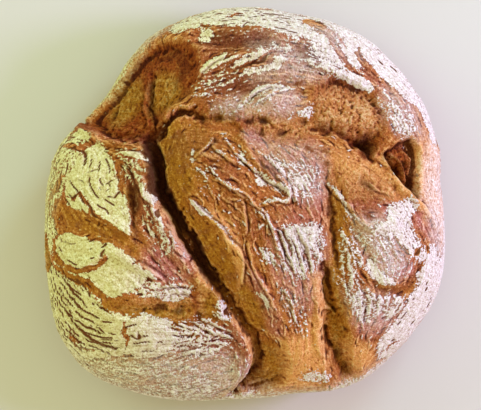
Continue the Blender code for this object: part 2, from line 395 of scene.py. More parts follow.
BULGES = (
    Bulge((-80, -26), 52, 40, 100, 6.5),  # the west lobe
    Bulge((-112, 30), 26, 17, 120, 3.5),  # its upper shoulder
    Bulge((-2, 4), 62, 34, 127, 6.0),  # the heart between the two long tears
    Bulge((30, -84), 30, 17, 110, 3.0),  # the heart's lower end
    Bulge((88, -24), 48, 28, 82, 6.0),  # the east lobe
    Bulge((14, 100), 62, 19, 0, 5.0),  # the north crescent
    Bulge((97, 58), 36, 16, 125, 4.0),  # the crescent's east end
    Bulge((15, 62), 15, 9, 8, 4.5),  # the knob on the crown's far side
    Bulge((24, 24), 14, 11, 30, 2.0),  # the dusted hump beside the crown
    Bulge((-66, -66), 40, 16, -20, 3.0),  # the lobe below its cross tear
)

HOLLOWS = (
    Hollow(((-112, 62), (-100, 78), (-86, 96), (-64, 106), (-42, 104), (-29, 90), (-32, 70),
            (-48, 60), (-66, 45), (-92, 47)), 6.5, 6.5),
    Hollow(((40, 66), (52, 76), (68, 72), (82, 60), (84, 46), (77, 32), (66, 38), (52, 45),
            (40, 50)), 3.0, 5.0),
    Hollow(((7, -82), (22, -86), (28, -100), (22, -116), (8, -128), (-4, -122), (8, -104)), 4.0, 5.0),
    Hollow(((85, 30), (92, 38), (101, 41), (106, 36), (108, 24), (110, 4), (105, 6), (98, 13),
            (90, 20)), 8.0, 3.0),
    Hollow(((52, -62), (61, -72), (64, -92), (62, -108), (54, -96), (49, -78)), 3.5, 4.0),
)

# Gentle ways: the crust slopes down to them from both sides.
VALLEYS = (
    Stroke(((-58, 44), (-52, 16), (-40, -10), (-26, -34), (-8, -58), (6, -86), (4, -112)),
           (7, 8, 7, 6, 5, 4, 3), 22, 9),
    Stroke(((-30, 50), (-4, 47), (22, 42), (46, 44), (66, 37), (80, 33)), (2, 2, 2, 3, 4, 4), 13, 13),
    Stroke(((50, 16), (52, -4), (53, -26), (50, -48), (51, -72), (58, -98), (68, -124)),
           (3, 5, 5, 6, 6, 4, 0), 14, 11),
    Stroke(((-80, -50), (-66, -58), (-50, -57), (-34, -59), (-22, -56)), (1, 2, 2.5, 2.5, 3), 8, 8),
    Stroke(((-28, 104), (-12, 98), (10, 99), (30, 94)), (2, 3, 3, 1), 8, 8),
    Stroke(((56, -4), (64, -18), (72, -34), (76, -50)), (3, 3, 2, 1), 8, 8),
    Stroke(((104, -34), (96, -47), (82, -52), (70, -42)), (1, 3, 3, 1), 6, 6),
)

# Sharp cracks: steep walls on both sides.
TEARS = (
    Stroke(((-143, 76), (-127, 66), (-104, 54), (-84, 45), (-66, 41), (-54, 46)), (1, 2, 3, 4, 5, 5),
           5, 4),
    Stroke(((-61, 40), (-56, 26), (-50, 6), (-39, -13), (-28, -32), (-16, -51), (-3, -71), (6, -90),
            (6, -106), (-6, -127)), (7, 13, 13, 12, 11, 8, 5, 5, 5, 4), 5.5, 4.4, 1.4, 0.35),
    Stroke(((-54, 45), (-44, 55), (-35, 57), (-27, 52)), (7, 6, 5, 3), 3.2, 3.0, 0.0, 0.3),
    Stroke(((-28, 51), (-16, 52), (4, 50), (12, 49), (24, 43), (36, 48)), (1, 1.5, 0.5, 1.5, 0.5, 1), 2.4, 2.4),
    Stroke(((40, 46), (54, 43), (66, 38), (73, 36), (76, 28)), (3, 4, 4, 10, 5), 4.0, 4.0),
    Stroke(((88, 27), (94, 22), (101, 14), (107, 6)), (3, 5, 5, 4), 4.0, 4.0),
    Stroke(((101, 36), (105, 26), (107, 14), (109, 4)), (1, 2, 3, 2), 1.6, 3.0),
    Stroke(((46, -36), (49, -47), (52, -62)), (3, 5, 4), 4.4, 3.6, 0.0, 0.3),
    Stroke(((47, -65), (48, -77), (50, -88)), (3, 4, 3), 4.0, 3.6, 0.0, 0.3),
    Stroke(((51, 11), (52, -6), (54, -20), (54, -34)), (1, 2.5, 2, 1), 3.5, 3.5),
    Stroke(((-78, -54), (-64, -59), (-50, -58), (-38, -61), (-24, -60)), (0.5, 0.6, 1.2, 1.2, 0.5), 3, 3),
    Stroke(((-68, 12), (-67, 0), (-64, -12)), (2, 3.5, 1), 3.0, 2.6),
    Stroke(((-127, -32), (-124, -37)), (6, 5), 3.5, 3.5),
    Stroke(((-62, 86), (-61, 72), (-61, 58)), (1.5, 2.5, 1.5), 1.8, 1.8),
)

# Folds: the crust stands up along them.
FOLDS = (
    Stroke(((-76, 33), (-62, 23), (-57, 4), (-46, -13), (-35, -31), (-24, -48), (-10, -67), (0, -86),
            (0, -106)), (2, 4, 4, 4, 3, 3, 3, 3, 2), 5, 9),
    Stroke(((-33, 3), (-24, -5), (-13, -17), (-4, -31), (0, -46), (-4, -60)), (2, 3, 3, 3, 2, 1), 6, 6),
    Stroke(((-27, 30), (-14, 29), (2, 26)), (3, 2, 1), 4, 5),
    Stroke(((-20, 22), (-8, 9), (8, -3), (16, -18), (22, -32)), (1, 2, 2, 2, 1), 4, 3),
    Stroke(((0, 41), (6, 28), (15, 17), (26, 6), (14, 1)), (2, 3, 3, 3, 2), 4, 4),
    Stroke(((8, 31), (20, 17), (30, 3)), (1, 2, 2), 3, 3),
    Stroke(((-5, 53), (1, 42), (7, 30), (13, 19)), (1, 2, 2, 1), 8, 2.4),
    Stroke(((-12, -17), (0, -35), (10, -50), (20, -68)), (2, 3, 3, 2), 5, 4),
    Stroke(((84, 24), (90, 17), (98, 9), (110, -2), (119, -14)), (1, 3, 4, 3, 2), 3, 6),
    Stroke(((43, -46), (43, -66), (44, -88)), (2, 3, 2), 5, 4),
    Stroke(((60, -4), (66, -10), (76, -13), (88, -10)), (1, 2, 3, 2), 5, 6),
    Stroke(((-104, -36), (-90, -33), (-76, -27), (-62, -33), (-52, -42)), (2, 3, 3, 3, 2), 6, 6),
    Stroke(((-104, 6), (-94, -1), (-82, -10), (-68, -16)), (1, 2, 3, 3), 6, 5),
    Stroke(((-66, 86), (-66, 68), (-64, 50)), (3, 4, 2), 3, 1.6),
    Stroke(((-124, 58), (-108, 49), (-92, 42), (-78, 40), (-66, 43)), (0, 2, 3, 3, 1), 4, 4),
    Stroke(((-24, 80), (-8, 88), (8, 90), (28, 86), (52, 80), (70, 74)), (2, 3, 2, 2, 3, 2), 7, 5),
    Stroke(((89, 33), (96, 26), (103, 15)), (1, 4, 2), 1.8, 1.8),
    Stroke(((97, 36), (102, 28), (106, 17)), (1, 4, 2), 1.6, 1.6),
)

# Wrinkles: thin crests, each with a gentle side and a steep side.
WRINKLES = (
    Stroke(((-31, 28), (-26, 33), (-20, 38)), (0.5, 1.4, 1.8), 4.0, 1.5),
    Stroke(((-20, 35), (-16, 31), (-11, 28), (-5, 25)), (1.2, 1.8, 1.5, 0.6), 3.0, 1.2),
    Stroke(((-12, 39), (-8, 34), (-3, 30), (2, 26), (6, 21), (10, 16), (15, 12), (20, 10), (26, 6)),
           (0.6, 1.2, 1.4, 1.6, 1.6, 1.5, 1.6, 1.6, 0.9), 2.6, 1.3),
    Stroke(((26, 6), (25, 3), (19, 3), (13, 1), (8, 0)), (1.0, 1.2, 1.2, 0.9, 0.4), 1.2, 2.4),
    Stroke(((14, 26), (18, 22), (22, 18), (26, 14), (29, 9), (30, 4)), (1, 1.8, 1.9, 1.9, 1.6, 0.8), 3.5, 1.3),
    Stroke(((-15, 15), (-9, 11), (-5, 9), (0, 6), (4, 2), (8, -1), (12, -4), (13, -10), (15, -16),
            (18, -21), (20, -27)), (1.0, 1.4, 1.5, 1.4, 1.5, 1.6, 1.6, 1.4, 1.4, 1.2, 0.8), 2.6, 1.2),
    Stroke(((-3, 3), (-1, -3), (0, -11), (-1, -18)), (0.9, 1.5, 1.5, 0.6), 1.2, 2.6),
    Stroke(((-10, 5), (-6, 3), (-2, 3)), (0.5, 1.0, 0.6), 2.0, 1.2),
    Stroke(((6, -15), (8, -12), (12, -11)), (0.6, 1.2, 0.6), 1.6, 1.6),
    Stroke(((-33, 3), (-29, 0), (-24, -5), (-20, -9), (-16, -13), (-11, -18), (-6, -24), (-2, -31),
            (-1, -38), (-3, -46)), (0.8, 1.6, 2.0, 2.2, 2.2, 2.2, 2.2, 2.2, 1.8, 0.8), 1.3, 3.6),
    Stroke(((1, -24), (3, -32), (7, -42), (11, -49), (15, -56), (19, -63)), (1.2, 2.0, 2.2, 1.8, 1.4, 0.7),
           3.0, 1.3),
    Stroke(((20, -15), (23, -21), (26, -30), (29, -41)), (0.8, 1.5, 1.5, 0.8), 1.5, 1.4),
    Stroke(((31, -15), (35, -23), (39, -34), (41, -42)), (0.8, 1.5, 1.4, 0.8), 1.5, 1.4),
    Stroke(((8, -53), (12, -60), (14, -68)), (0.8, 1.3, 0.7), 1.5, 1.5),
    Stroke(((24, -52), (29, -61), (32, -72)), (0.7, 1.3, 0.7), 2.0, 1.4),
    Stroke(((50, 12), (55, 6), (60, 0), (66, -7), (73, -13)), (1.0, 1.8, 1.9, 1.6, 0.8), 3.0, 1.3),
    Stroke(((54, -40), (60, -49)), (0.8, 1.2), 1.5, 1.5),
    Stroke(((74, 13), (80, 8), (88, 6)), (0.7, 1.3, 0.6), 2.0, 1.2),
    Stroke(((-81, 31), (-74, 32), (-67, 31), (-61, 28)), (0.8, 1.6, 1.8, 0.8), 1.5, 3.0),
    Stroke(((-70, 25), (-66, 19), (-63, 13)), (0.8, 1.5, 0.8), 1.6, 1.3),
    Stroke(((-64, 13), (-59, 6), (-54, 0), (-52, -8)), (0.9, 1.8, 1.8, 0.8), 2.4, 1.3),
    Stroke(((-49, -3), (-45, -8), (-41, -14), (-36, -20)), (0.9, 1.7, 1.7, 0.8), 1.5, 2.4),
    Stroke(((-44, -13), (-42, -19), (-41, -27)), (0.8, 1.5, 0.7), 1.5, 1.3),
    Stroke(((-59, -6), (-56, -13), (-54, -21)), (0.7, 1.3, 0.6), 1.8, 1.3),
    Stroke(((-61, -33), (-54, -39), (-46, -45)), (0.9, 1.6, 0.8), 1.4, 2.6),
    Stroke(((-46, -47), (-38, -47), (-31, -49)), (0.8, 1.5, 0.9), 2.2, 1.3),
    Stroke(((-41, -54), (-36, -55), (-32, -57)), (0.8, 1.3, 0.8), 1.3, 1.8),
    Stroke(((-30, -70), (-24, -73), (-18, -79)), (0.7, 1.3, 0.7), 1.5, 1.4),
    Stroke(((-24, -68), (-18, -72), (-12, -77)), (0.7, 1.3, 0.7), 1.5, 1.4),
    Stroke(((-27, 79), (-20, 85), (-12, 91)), (0.7, 1.5, 0.8), 2.6, 1.3),
    Stroke(((0, 61), (6, 66), (13, 69), (22, 70)), (0.7, 1.4, 1.4, 0.7), 2.4, 1.3),
    Stroke(((10, 60), (16, 65), (24, 67)), (0.7, 1.2, 0.7), 1.6, 1.3),
)

# Ways that the crust was stretched, beside the tears and folds themselves.
PULLS: tuple[Route, ...] = (
    ((-112, -40), (-98, -52), (-80, -64), (-60, -68)),
    ((-116, -58), (-98, -74), (-78, -84), (-50, -86), (-20, -84)),
    ((-112, -84), (-86, -104), (-50, -114), (-16, -112)),
    ((-118, 36), (-124, 14), (-124, -14), (-122, -44)),
    ((-104, 32), (-100, 12), (-90, -4), (-74, -14)),
    ((-56, 8), (-50, -16), (-42, -38)),
    ((-58, -34), (-46, -44), (-34, -56)),
    ((-34, -62), (-22, -74), (-10, -88)),
    ((18, -14), (26, -32), (36, -54), (40, -72)),
    ((34, -8), (42, -26), (46, -40)),
    ((28, 26), (38, 14), (44, 0)),
    ((16, 34), (30, 22), (40, 8)),
    ((60, 20), (76, 16), (92, 4), (106, -10)),
    ((64, -22), (72, -40), (76, -60), (72, -80)),
    ((86, -14), (92, -30), (88, -46)),
    ((98, 6), (104, -20), (102, -48), (90, -74)),
    ((122, 20), (126, -6), (124, -40), (106, -76)),
    ((46, 118), (60, 100), (78, 78), (92, 58), (102, 36)),
    ((60, 118), (86, 96), (108, 68), (120, 38)),
    ((-40, 122), (0, 126), (40, 118)),
    ((-30, 112), (0, 114), (34, 106)),
    ((-24, 82), (0, 88), (24, 92), (50, 86)),
    ((-20, 74), (10, 76), (40, 74)),
    ((-4, 60), (10, 68), (28, 68)),
    ((-60, 100), (-64, 80), (-64, 60)),
    ((-96, 84), (-92, 66), (-96, 52)),
    ((-44, 46), (-44, 20), (-34, -6), (-20, -30), (-12, -52)),
)

FLOUR: tuple[Patch | Streak, ...] = (
    # West lobe: the big patch above the ochre band.
    Patch(((-97, 39), (-90, 37), (-84, 31), (-80, 24), (-77, 17), (-75, 9), (-71, 3), (-69, -6),
           (-65, -18), (-70, -17), (-78, -12), (-86, -8), (-94, -5), (-102, -3), (-109, 0),
           (-111, 8), (-108, 18), (-103, 29)), 1.0, 2.2),
    # Its thinner skirt towards the side.
    Patch(((-100, 38), (-112, 44), (-124, 48), (-134, 34), (-139, 12), (-138, -16), (-128, -14),
           (-120, 0), (-112, 6), (-104, 20)), 0.64, 4.0),
    Patch(((-98, 46), (-108, 50), (-118, 50), (-114, 42), (-102, 41)), 0.86, 2.0),
    # Between the ochre band and the arc below it.
    Patch(((-117, -25), (-112, -18), (-104, -16), (-95, -18), (-88, -21), (-83, -21), (-80, -25),
           (-81, -31), (-86, -35), (-93, -38), (-101, -38), (-108, -35), (-115, -31)), 1.0, 1.2),
    Patch(((-138, -14), (-124, -6), (-116, -16), (-118, -30), (-128, -28), (-140, -30)), 0.72, 3.0),
    # Below the arc.
    Patch(((-82, -22), (-74, -25), (-66, -30), (-58, -36), (-56, -42), (-60, -47), (-67, -51),
           (-74, -52), (-80, -49), (-88, -46), (-97, -41), (-90, -38), (-84, -35), (-80, -30)), 1.0, 1.5),
    Streak(((-116, -35), (-106, -39), (-97, -41), (-88, -43)), 1.6, 1.0),
    Streak(((-72, -26), (-64, -31), (-56, -38), (-50, -43)), 1.6, 1.0),
    # The broad southern flank.
    Patch(((-120, -38), (-108, -42), (-99, -45), (-90, -48), (-84, -51), (-80, -56), (-74, -60),
           (-66, -61), (-58, -62), (-48, -65), (-40, -70), (-40, -80), (-52, -84), (-68, -85),
           (-84, -88), (-98, -92), (-112, -84), (-124, -68), (-130, -50)), 0.95, 2.5),
    Patch(((-66, -63), (-54, -62), (-44, -66), (-38, -74), (-40, -84), (-52, -88), (-64, -88),
           (-62, -78)), 0.95, 2.5),
    Patch(((-122, -56), (-134, -40), (-142, -28), (-136, -60), (-118, -92), (-96, -112), (-60, -130),
           (-20, -138), (-14, -120), (-26, -98), (-50, -76), (-92, -70), (-116, -64)), 0.46, 6.0),
    # The west lobe's lip.
    Streak(((-74, 31), (-68, 31), (-61, 28)), 2.2, 1.0),
    Streak(((-64, 13), (-59, 6), (-55, 0), (-52, -1)), 1.6, 0.95),
    Streak(((-57, -2), (-52, -8), (-47, -15), (-41, -22)), 1.3, 0.95),
    Streak(((-58, -4), (-57, -12), (-53, -20)), 0.9, 0.85),
    Streak(((-50, -12), (-48, -19), (-46, -27)), 1.1, 0.9),
    Streak(((-42, -22), (-44, -26), (-47, -30)), 0.9, 0.8),
    Streak(((-72, 24), (-67, 19), (-63, 15)), 1.0, 0.9),
    Streak(((-70, 27), (-65, 23), (-61, 20)), 0.9, 0.85),
    # The lumps above the cross tear.
    Streak(((-59, -43), (-52, -46), (-44, -48)), 1.2, 0.9),
    Streak(((-60, -47), (-54, -49), (-46, -51), (-38, -51)), 1.0, 0.9),
    Streak(((-58, -51), (-52, -52), (-44, -53)), 0.9, 0.8),
    Streak(((-48, -38), (-42, -42), (-36, -44)), 0.9, 0.6),
    Patch(((-64, -44), (-56, -44), (-50, -47), (-54, -52), (-64, -51)), 0.62, 2.0),
    Patch(((-46, -47), (-38, -46), (-31, -48), (-32, -53), (-38, -56), (-44, -54)), 0.8, 2.0),
    # The side beyond the torn crumb.
    Streak(((-52, 124), (-72, 114), (-90, 102), (-104, 88), (-113, 76), (-122, 70)), 7.0, 0.3, 4.0),
    # North crescent.
    Patch(((-46, 112), (-30, 110), (-20, 112), (-8, 110), (4, 111), (13, 108), (22, 103), (30, 100),
           (42, 100), (46, 106), (38, 112), (42, 122), (30, 136), (0, 140), (-30, 132),
           (-50, 122)), 0.9, 3.4),
    Streak(((36, 104), (46, 98), (55, 91), (61, 85)), 3.0, 0.95, 2.0),
    Patch(((38, 100), (48, 100), (60, 92), (64, 84), (56, 78), (46, 79), (42, 86)), 0.72, 3.5),
    Patch(((-29, 108), (-22, 110), (-20, 104), (-25, 100), (-29, 103)), 0.9, 2.0),
    Patch(((-26, 79), (-24, 85), (-19, 88), (-14, 91), (-11, 92), (-12, 88), (-15, 84), (-20, 81)),
          1.0, 1.5),
    Streak(((-9, 80), (-4, 84), (4, 87), (10, 90), (15, 90)), 1.9, 0.9),
    Patch(((-5, 76), (-1, 79), (5, 82), (12, 84), (19, 87), (24, 86), (21, 81), (13, 80), (5, 78)),
          0.95, 1.6),
    Streak(((24, 91), (26, 95), (25, 98)), 1.7, 0.9),
    Streak(((17, 92), (18, 96), (16, 98)), 1.2, 0.8),
    # The side of the crescent, round to the east.
    Patch(((36, 106), (46, 98), (55, 90), (62, 83), (69, 82), (74, 80), (84, 74), (94, 64),
           (103, 56), (110, 46), (116, 38), (126, 42), (124, 64), (110, 86), (92, 106), (70, 124),
           (48, 134), (36, 124)), 0.92, 3.0),
    Patch(((55, 78), (62, 81), (68, 79), (75, 75), (78, 70), (72, 69), (66, 71), (60, 75)), 1.0, 1.5),
    Patch(((80, 78), (88, 70), (96, 60), (102, 54), (106, 44), (100, 41), (92, 41), (87, 48),
           (85, 58), (80, 66)), 0.55, 3.5),
    # The knob.
    Streak(((1, 61), (6, 66), (12, 69), (20, 70), (29, 69)), 2.6, 0.8),
    Streak(((8, 60), (14, 64), (20, 67)), 1.3, 0.75),
    Patch(((31, 53), (35, 58), (40, 61), (41, 54), (37, 50)), 0.8, 2.4),
    Streak(((24, 50), (28, 54), (31, 57)), 0.9, 0.85),
    Streak(((-6, 57), (-2, 59), (2, 62)), 1.0, 0.7),
    # The heart: creases picked out in flour.
    Streak(((-32, 32), (-31, 31)), 1.7, 0.9),
    Streak(((-31, 29), (-33, 26)), 1.3, 0.85),
    Streak(((-24, 32), (-22, 35), (-20, 38)), 1.0, 0.62, 1.8),
    Streak(((-20, 34), (-16, 31), (-11, 28)), 1.3, 0.66, 2.0),
    Streak(((-12, 39), (-8, 34), (-3, 30), (2, 26)), 1.2, 0.6, 2.0),
    Patch(((-6, 30), (-1, 30), (3, 25), (-2, 23), (-5, 26)), 0.66, 2.0),
    Streak(((3, 24), (7, 20), (11, 16), (15, 12)), 1.6, 0.78, 2.0),
    Streak(((10, 15), (15, 12), (20, 10), (24, 8), (26, 5), (24, 2)), 2.2, 0.84, 2.2),
    Streak(((24, 2), (19, 4), (13, 2), (8, 0)), 1.0, 0.75, 1.6),
    Patch(((6, 15), (11, 16), (13, 11), (9, 11)), 0.75, 1.2),
    Streak(((13, 27), (18, 22), (22, 18), (26, 14)), 1.5, 0.78, 2.0),
    Streak(((24, 16), (28, 11), (30, 6), (29, 2)), 1.8, 0.85, 2.2),
    Patch(((28, 17), (36, 19), (41, 14), (38, 8), (31, 7)), 0.78, 2.5),
    Patch(((14, 30), (24, 26), (34, 22), (26, 18), (16, 24)), 0.55, 3.0),
    Streak(((-15, 15), (-9, 11), (-5, 9), (0, 6), (4, 2), (8, -1)), 0.8, 0.58, 1.8),
    Streak(((8, -1), (12, -4), (13, -10), (15, -16), (18, -21), (20, -27)), 1.0, 0.62, 2.2),
    Streak(((6, -15), (8, -12), (12, -11)), 1.0, 0.7, 1.6),
    Streak(((-33, 3), (-29, 0), (-24, -5), (-20, -8)), 1.8, 1.0, 1.2),
    Streak(((-21, -7), (-16, -12), (-11, -17), (-6, -24)), 0.9, 0.8, 1.2),
    Patch(((22, -13), (32, -11), (43, -11), (43, -22), (38, -30), (30, -28), (25, -20)), 0.86, 2.5),
    Patch(((22, -22), (30, -28), (37, -34), (36, -44), (28, -40), (22, -32)), 0.66, 3.0),
    Patch(((7, -27), (12, -26), (18, -30), (19, -36), (12, -36)), 0.6, 2.0),
    Streak(((-10, -4), (-9, -6)), 1.3, 0.8),
    Streak(((7, -52), (11, -56), (14, -64)), 1.3, 0.8),
    # East lobe.
    Streak(((51, 12), (55, 7), (58, 3), (62, -4), (67, -8), (72, -13)), 1.4, 0.9),
    Streak(((56, -14), (58, -20), (56, -26)), 1.0, 0.7),
    Patch(((86, 0), (96, 3), (101, 6), (104, 2), (106, -4), (102, -8), (102, -18), (108, -23),
           (116, -24), (122, -30), (122, -44), (110, -40), (100, -33), (96, -30), (88, -26),
           (80, -20), (74, -14), (78, -10), (84, -8)), 0.78, 3.0),
    Patch(((58, -6), (66, -14), (76, -16), (84, -14), (88, -24), (80, -30), (68, -26), (60, -16)),
          0.45, 4.0),
    Patch(((104, -30), (112, -34), (124, -32), (134, -20), (130, -52), (114, -78), (96, -96),
           (82, -96), (79, -88), (83, -77), (88, -70), (94, -58), (101, -48)), 0.95, 2.6),
    Patch(((74, -31), (70, -37), (74, -43), (80, -47), (88, -46), (84, -42), (78, -38)), 0.85, 2.0),
    Patch(((35, -105), (46, -101), (54, -105), (48, -112), (37, -113)), 0.68, 3.0),
    Patch(((16, -128), (56, -118), (82, -102), (100, -106), (64, -138), (16, -144)), 0.44, 6.0),
)

SMEAR: tuple[Patch | Streak, ...] = (
    # Crumpled lip of the west lobe.
    Patch(((-62, 2), (-56, -2), (-48, -14), (-42, -24), (-46, -30), (-54, -24), (-60, -14)), 0.42, 2.5),
    Patch(((-82, 37), (-76, 36), (-66, 30), (-66, 20), (-74, 24), (-80, 32)), 0.5, 2.0),
    Patch(((-72, 24), (-64, 20), (-62, 12), (-70, 12), (-76, 16)), 0.4, 2.0),
    Patch(((-62, -38), (-52, -44), (-40, -46), (-32, -50), (-36, -56), (-50, -54), (-62, -48)), 0.55, 2.5),
    Patch(((-40, -68), (-26, -66), (-12, -72), (-8, -82), (-16, -92), (-30, -94), (-42, -84)), 0.6, 3.0),
    Patch(((-18, -56), (-12, -60), (-10, -70), (-18, -70)), 0.5, 2.0),
    Patch(((-20, -84), (-6, -78), (0, -92), (-2, -112), (-16, -110)), 0.3, 4.0),
    # The heart's dusted flanks.
    Patch(((14, 26), (24, 27), (36, 27), (44, 22), (46, 10), (38, 0), (28, 0), (24, 12)), 0.46, 3.5),
    Patch(((2, 38), (12, 34), (22, 30), (14, 24), (6, 30)), 0.3, 2.5),
    Patch(((40, 106), (54, 98), (62, 86), (48, 80), (32, 84), (36, 96)), 0.5, 5.0),
    Patch(((19, -14), (28, -12), (40, -10), (48, -20), (46, -32), (38, -42), (30, -48), (24, -42),
           (20, -32), (17, -24)), 0.56, 3.0),
    Patch(((6, -24), (14, -26), (20, -36), (16, -38), (8, -30)), 0.55, 2.0),
    Patch(((20, -46), (30, -54), (38, -66), (36, -78), (26, -72), (20, -60)), 0.4, 3.0),
    Patch(((-31, 22), (-20, 24), (-14, 16), (-22, 12), (-30, 14)), 0.42, 2.5),
    Patch(((-28, 12), (-18, 12), (-14, 4), (-24, 4)), 0.34, 2.5),
    Patch(((4, -4), (14, -4), (18, -16), (8, -16)), 0.34, 2.5),
    Patch(((-32, 76), (-20, 80), (-12, 90), (4, 84), (0, 74), (-20, 64), (-32, 62)), 0.4, 3.5),
    Patch(((-24, 68), (-10, 70), (6, 66), (26, 70), (32, 60), (22, 54), (0, 54), (-20, 56)), 0.3, 3.5),
    Patch(((0, 90), (12, 98), (22, 96), (30, 92), (20, 88), (8, 88)), 0.42, 2.5),
    Patch(((-36, 112), (0, 112), (20, 106), (10, 100), (-20, 102)), 0.2, 3.0),
    # East lobe.
    Patch(((58, -18), (68, -26), (74, -44), (80, -56), (78, -68), (66, -68), (58, -54), (54, -38)),
          0.48, 3.0),
    Patch(((62, -50), (80, -52), (94, -52), (90, -64), (80, -70), (66, -68)), 0.58, 2.5),
    Patch(((70, -12), (80, -12), (90, -20), (90, -30), (82, -36), (72, -30)), 0.4, 3.0),
    Patch(((78, -30), (90, -28), (100, -34), (96, -44), (84, -44)), 0.35, 3.0),
)

BARE: tuple[Patch | Streak, ...] = (
    Streak(((-131, -20), (-127, -32), (-129, -46)), 4.0, 1.0, 1.5),
    Patch(((-132, 66), (-116, 60), (-100, 54), (-84, 47), (-70, 44), (-60, 48), (-56, 40), (-68, 36),
           (-84, 39), (-96, 42), (-110, 52), (-128, 58)), 1.0, 2.0),
    # Brown lines in the west lobe's flour.
    Streak(((-118, 38), (-110, 36), (-104, 36), (-97, 38)), 1.7),
    Streak(((-113, 18), (-119, 11), (-125, 5), (-127, 1)), 1.9),
    Streak(((-112, 8), (-112, 2), (-111, -4)), 1.2),
    Streak(((-108, 5), (-103, 4), (-100, 8)), 0.9),
    Streak(((-100, 9), (-96, 3), (-91, -3), (-85, -8)), 1.3),
    Patch(((-119, 2), (-112, -1), (-104, -3), (-97, -6), (-90, -8), (-83, -10), (-77, -12),
           (-70, -17), (-65, -21), (-60, -29), (-55, -36), (-60, -34), (-66, -29), (-72, -25),
           (-80, -22), (-90, -21), (-96, -18), (-106, -16), (-112, -10)), 1.0, 1.4),
    Streak(((-119, -22), (-116, -29), (-111, -34), (-105, -37), (-97, -39), (-89, -38), (-83, -35),
            (-80, -30)), 1.5),
    Streak(((-114, -37), (-106, -40), (-98, -43), (-90, -45), (-84, -47), (-79, -51), (-76, -56)), 1.3),
    Patch(((-78, -52), (-70, -53), (-62, -54), (-52, -55), (-44, -56), (-34, -58), (-30, -64),
           (-40, -65), (-52, -61), (-62, -58), (-72, -56)), 1.0, 1.2),
    Streak(((-66, -64), (-66, -71), (-65, -76), (-67, -80)), 1.3),
    Streak(((-76, -100), (-70, -103), (-63, -105), (-55, -103)), 1.0),
    Streak(((-99, -80), (-92, -81), (-84, -82)), 0.9, 0.8),
    Patch(((-102, -74), (-97, -73), (-93, -77), (-97, -81)), 0.8, 2.0),
    Streak(((-69, 11), (-67, 0), (-65, -8), (-63, -16), (-61, -24)), 2.0),
    Streak(((-54, 0), (-47, -8), (-41, -16), (-35, -24), (-31, -34)), 2.2, 1.0, 0.8),
    Streak(((-48, -8), (-45, -18)), 1.4, 0.9),
    # Lines in the crescent.
    Patch(((37, 117), (40, 113), (47, 110), (51, 112), (47, 118), (41, 121)), 0.9, 1.5),
    Patch(((41, 110), (49, 110), (50, 104), (43, 104)), 0.5, 2.0),
    Streak(((44, 113), (50, 106), (54, 98), (58, 92), (61, 87), (66, 82)), 2.1, 1.0),
    Streak(((46, 116), (50, 110), (55, 105), (59, 101), (63, 95)), 1.3, 0.9),
    Streak(((70, 98), (71, 91), (74, 85), (77, 78), (80, 71), (83, 64)), 2.8, 1.0),
    Streak(((75, 90), (79, 83), (82, 77)), 1.5, 0.8),
    Streak(((83, 77), (88, 72), (92, 67), (97, 62), (100, 57)), 1.5, 0.85),
    Streak(((101, 61), (105, 57), (109, 51), (112, 46), (115, 40)), 1.9, 1.0),
    Streak(((117, 36), (119, 30), (121, 24)), 0.8, 0.7),
    Streak(((-9, 79), (-1, 83), (5, 85), (10, 87), (15, 90), (22, 91)), 1.1),
    Streak(((-14, 117), (-8, 122), (0, 127)), 0.9, 0.8),
    Streak(((-29, 114), (-24, 112), (-18, 110)), 1.2, 0.9),
    Streak(((8, 134), (18, 134)), 1.6, 0.6),
    Patch(((20, 60), (26, 60), (27, 64), (23, 66), (20, 64)), 0.6, 1.5),
    # East lobe.
    Streak(((67, -39), (72, -45), (78, -49), (85, -50), (92, -48), (97, -44), (102, -39), (106, -34)), 2.2),
    Patch(((103, -7), (112, -5), (120, -10), (121, -20), (110, -22), (104, -18)), 0.55, 2.5),
    Streak(((88, -20), (90, -25), (95, -28), (99, -29)), 0.8),
    Streak(((100, -29), (105, -25)), 1.1),
    Streak(((109, -28), (110, -24)), 0.9),
    Streak(((79, -64), (74, -72), (71, -78)), 1.4),
    Streak(((82, -93), (90, -86), (96, -84)), 0.8, 0.7),
    Streak(((62, -1), (66, -6), (71, -12)), 0.7),
)

DUST: tuple[Patch | Streak, ...] = (
    Patch(((18, 98), (34, 96), (50, 94), (56, 84), (48, 78), (34, 74), (20, 76), (10, 72), (4, 76),
           (14, 86)), 0.6, 6.0),
    Streak(((-52, 122), (-74, 112), (-92, 99), (-106, 84), (-116, 72)), 7.0, 0.8, 4.0),
    Streak(((-10, 137), (30, 136)), 5.0, 0.4, 4.0),
    Patch(((0, 100), (14, 104), (28, 98), (22, 90), (6, 90)), 0.35, 4.0),
    Patch(((66, -12), (84, -8), (94, -24), (90, -40), (78, -42), (70, -28)), 0.75, 5.0),
    Patch(((0, 42), (20, 38), (44, 34), (48, 10), (38, 0), (28, 8), (10, 28)), 0.38, 5.0),
    Patch(((-18, 60), (0, 66), (14, 70), (28, 70), (34, 60), (26, 52), (6, 53), (-14, 54)), 0.5, 4.0),
    Patch(((112, 36), (122, 40), (140, 14), (142, -30), (122, -40), (114, -10)), 0.9, 5.0),
    Patch(((88, 72), (104, 58), (112, 42), (100, 40), (88, 48), (82, 62)), 0.5, 5.0),
    Patch(((40, 112), (62, 108), (72, 92), (62, 88), (50, 98)), 0.5, 5.0),
    Patch(((-100, -86), (-60, -86), (-24, -90), (-4, -100), (-8, -130), (-50, -136), (-96, -112)), 0.85, 7.0),
    Patch(((-136, 40), (-122, 44), (-116, 20), (-124, -10), (-140, -10)), 0.5, 6.0),
    Patch(((18, -20), (46, -16), (46, -44), (34, -64), (22, -56)), 0.16, 5.0),
    Patch(((60, -50), (84, -54), (96, -58), (84, -74), (66, -70)), 0.35, 5.0),
    Patch(((4, -126), (30, -121), (60, -114), (86, -97), (104, -96), (64, -138), (4, -144)), 0.6, 6.0),
)

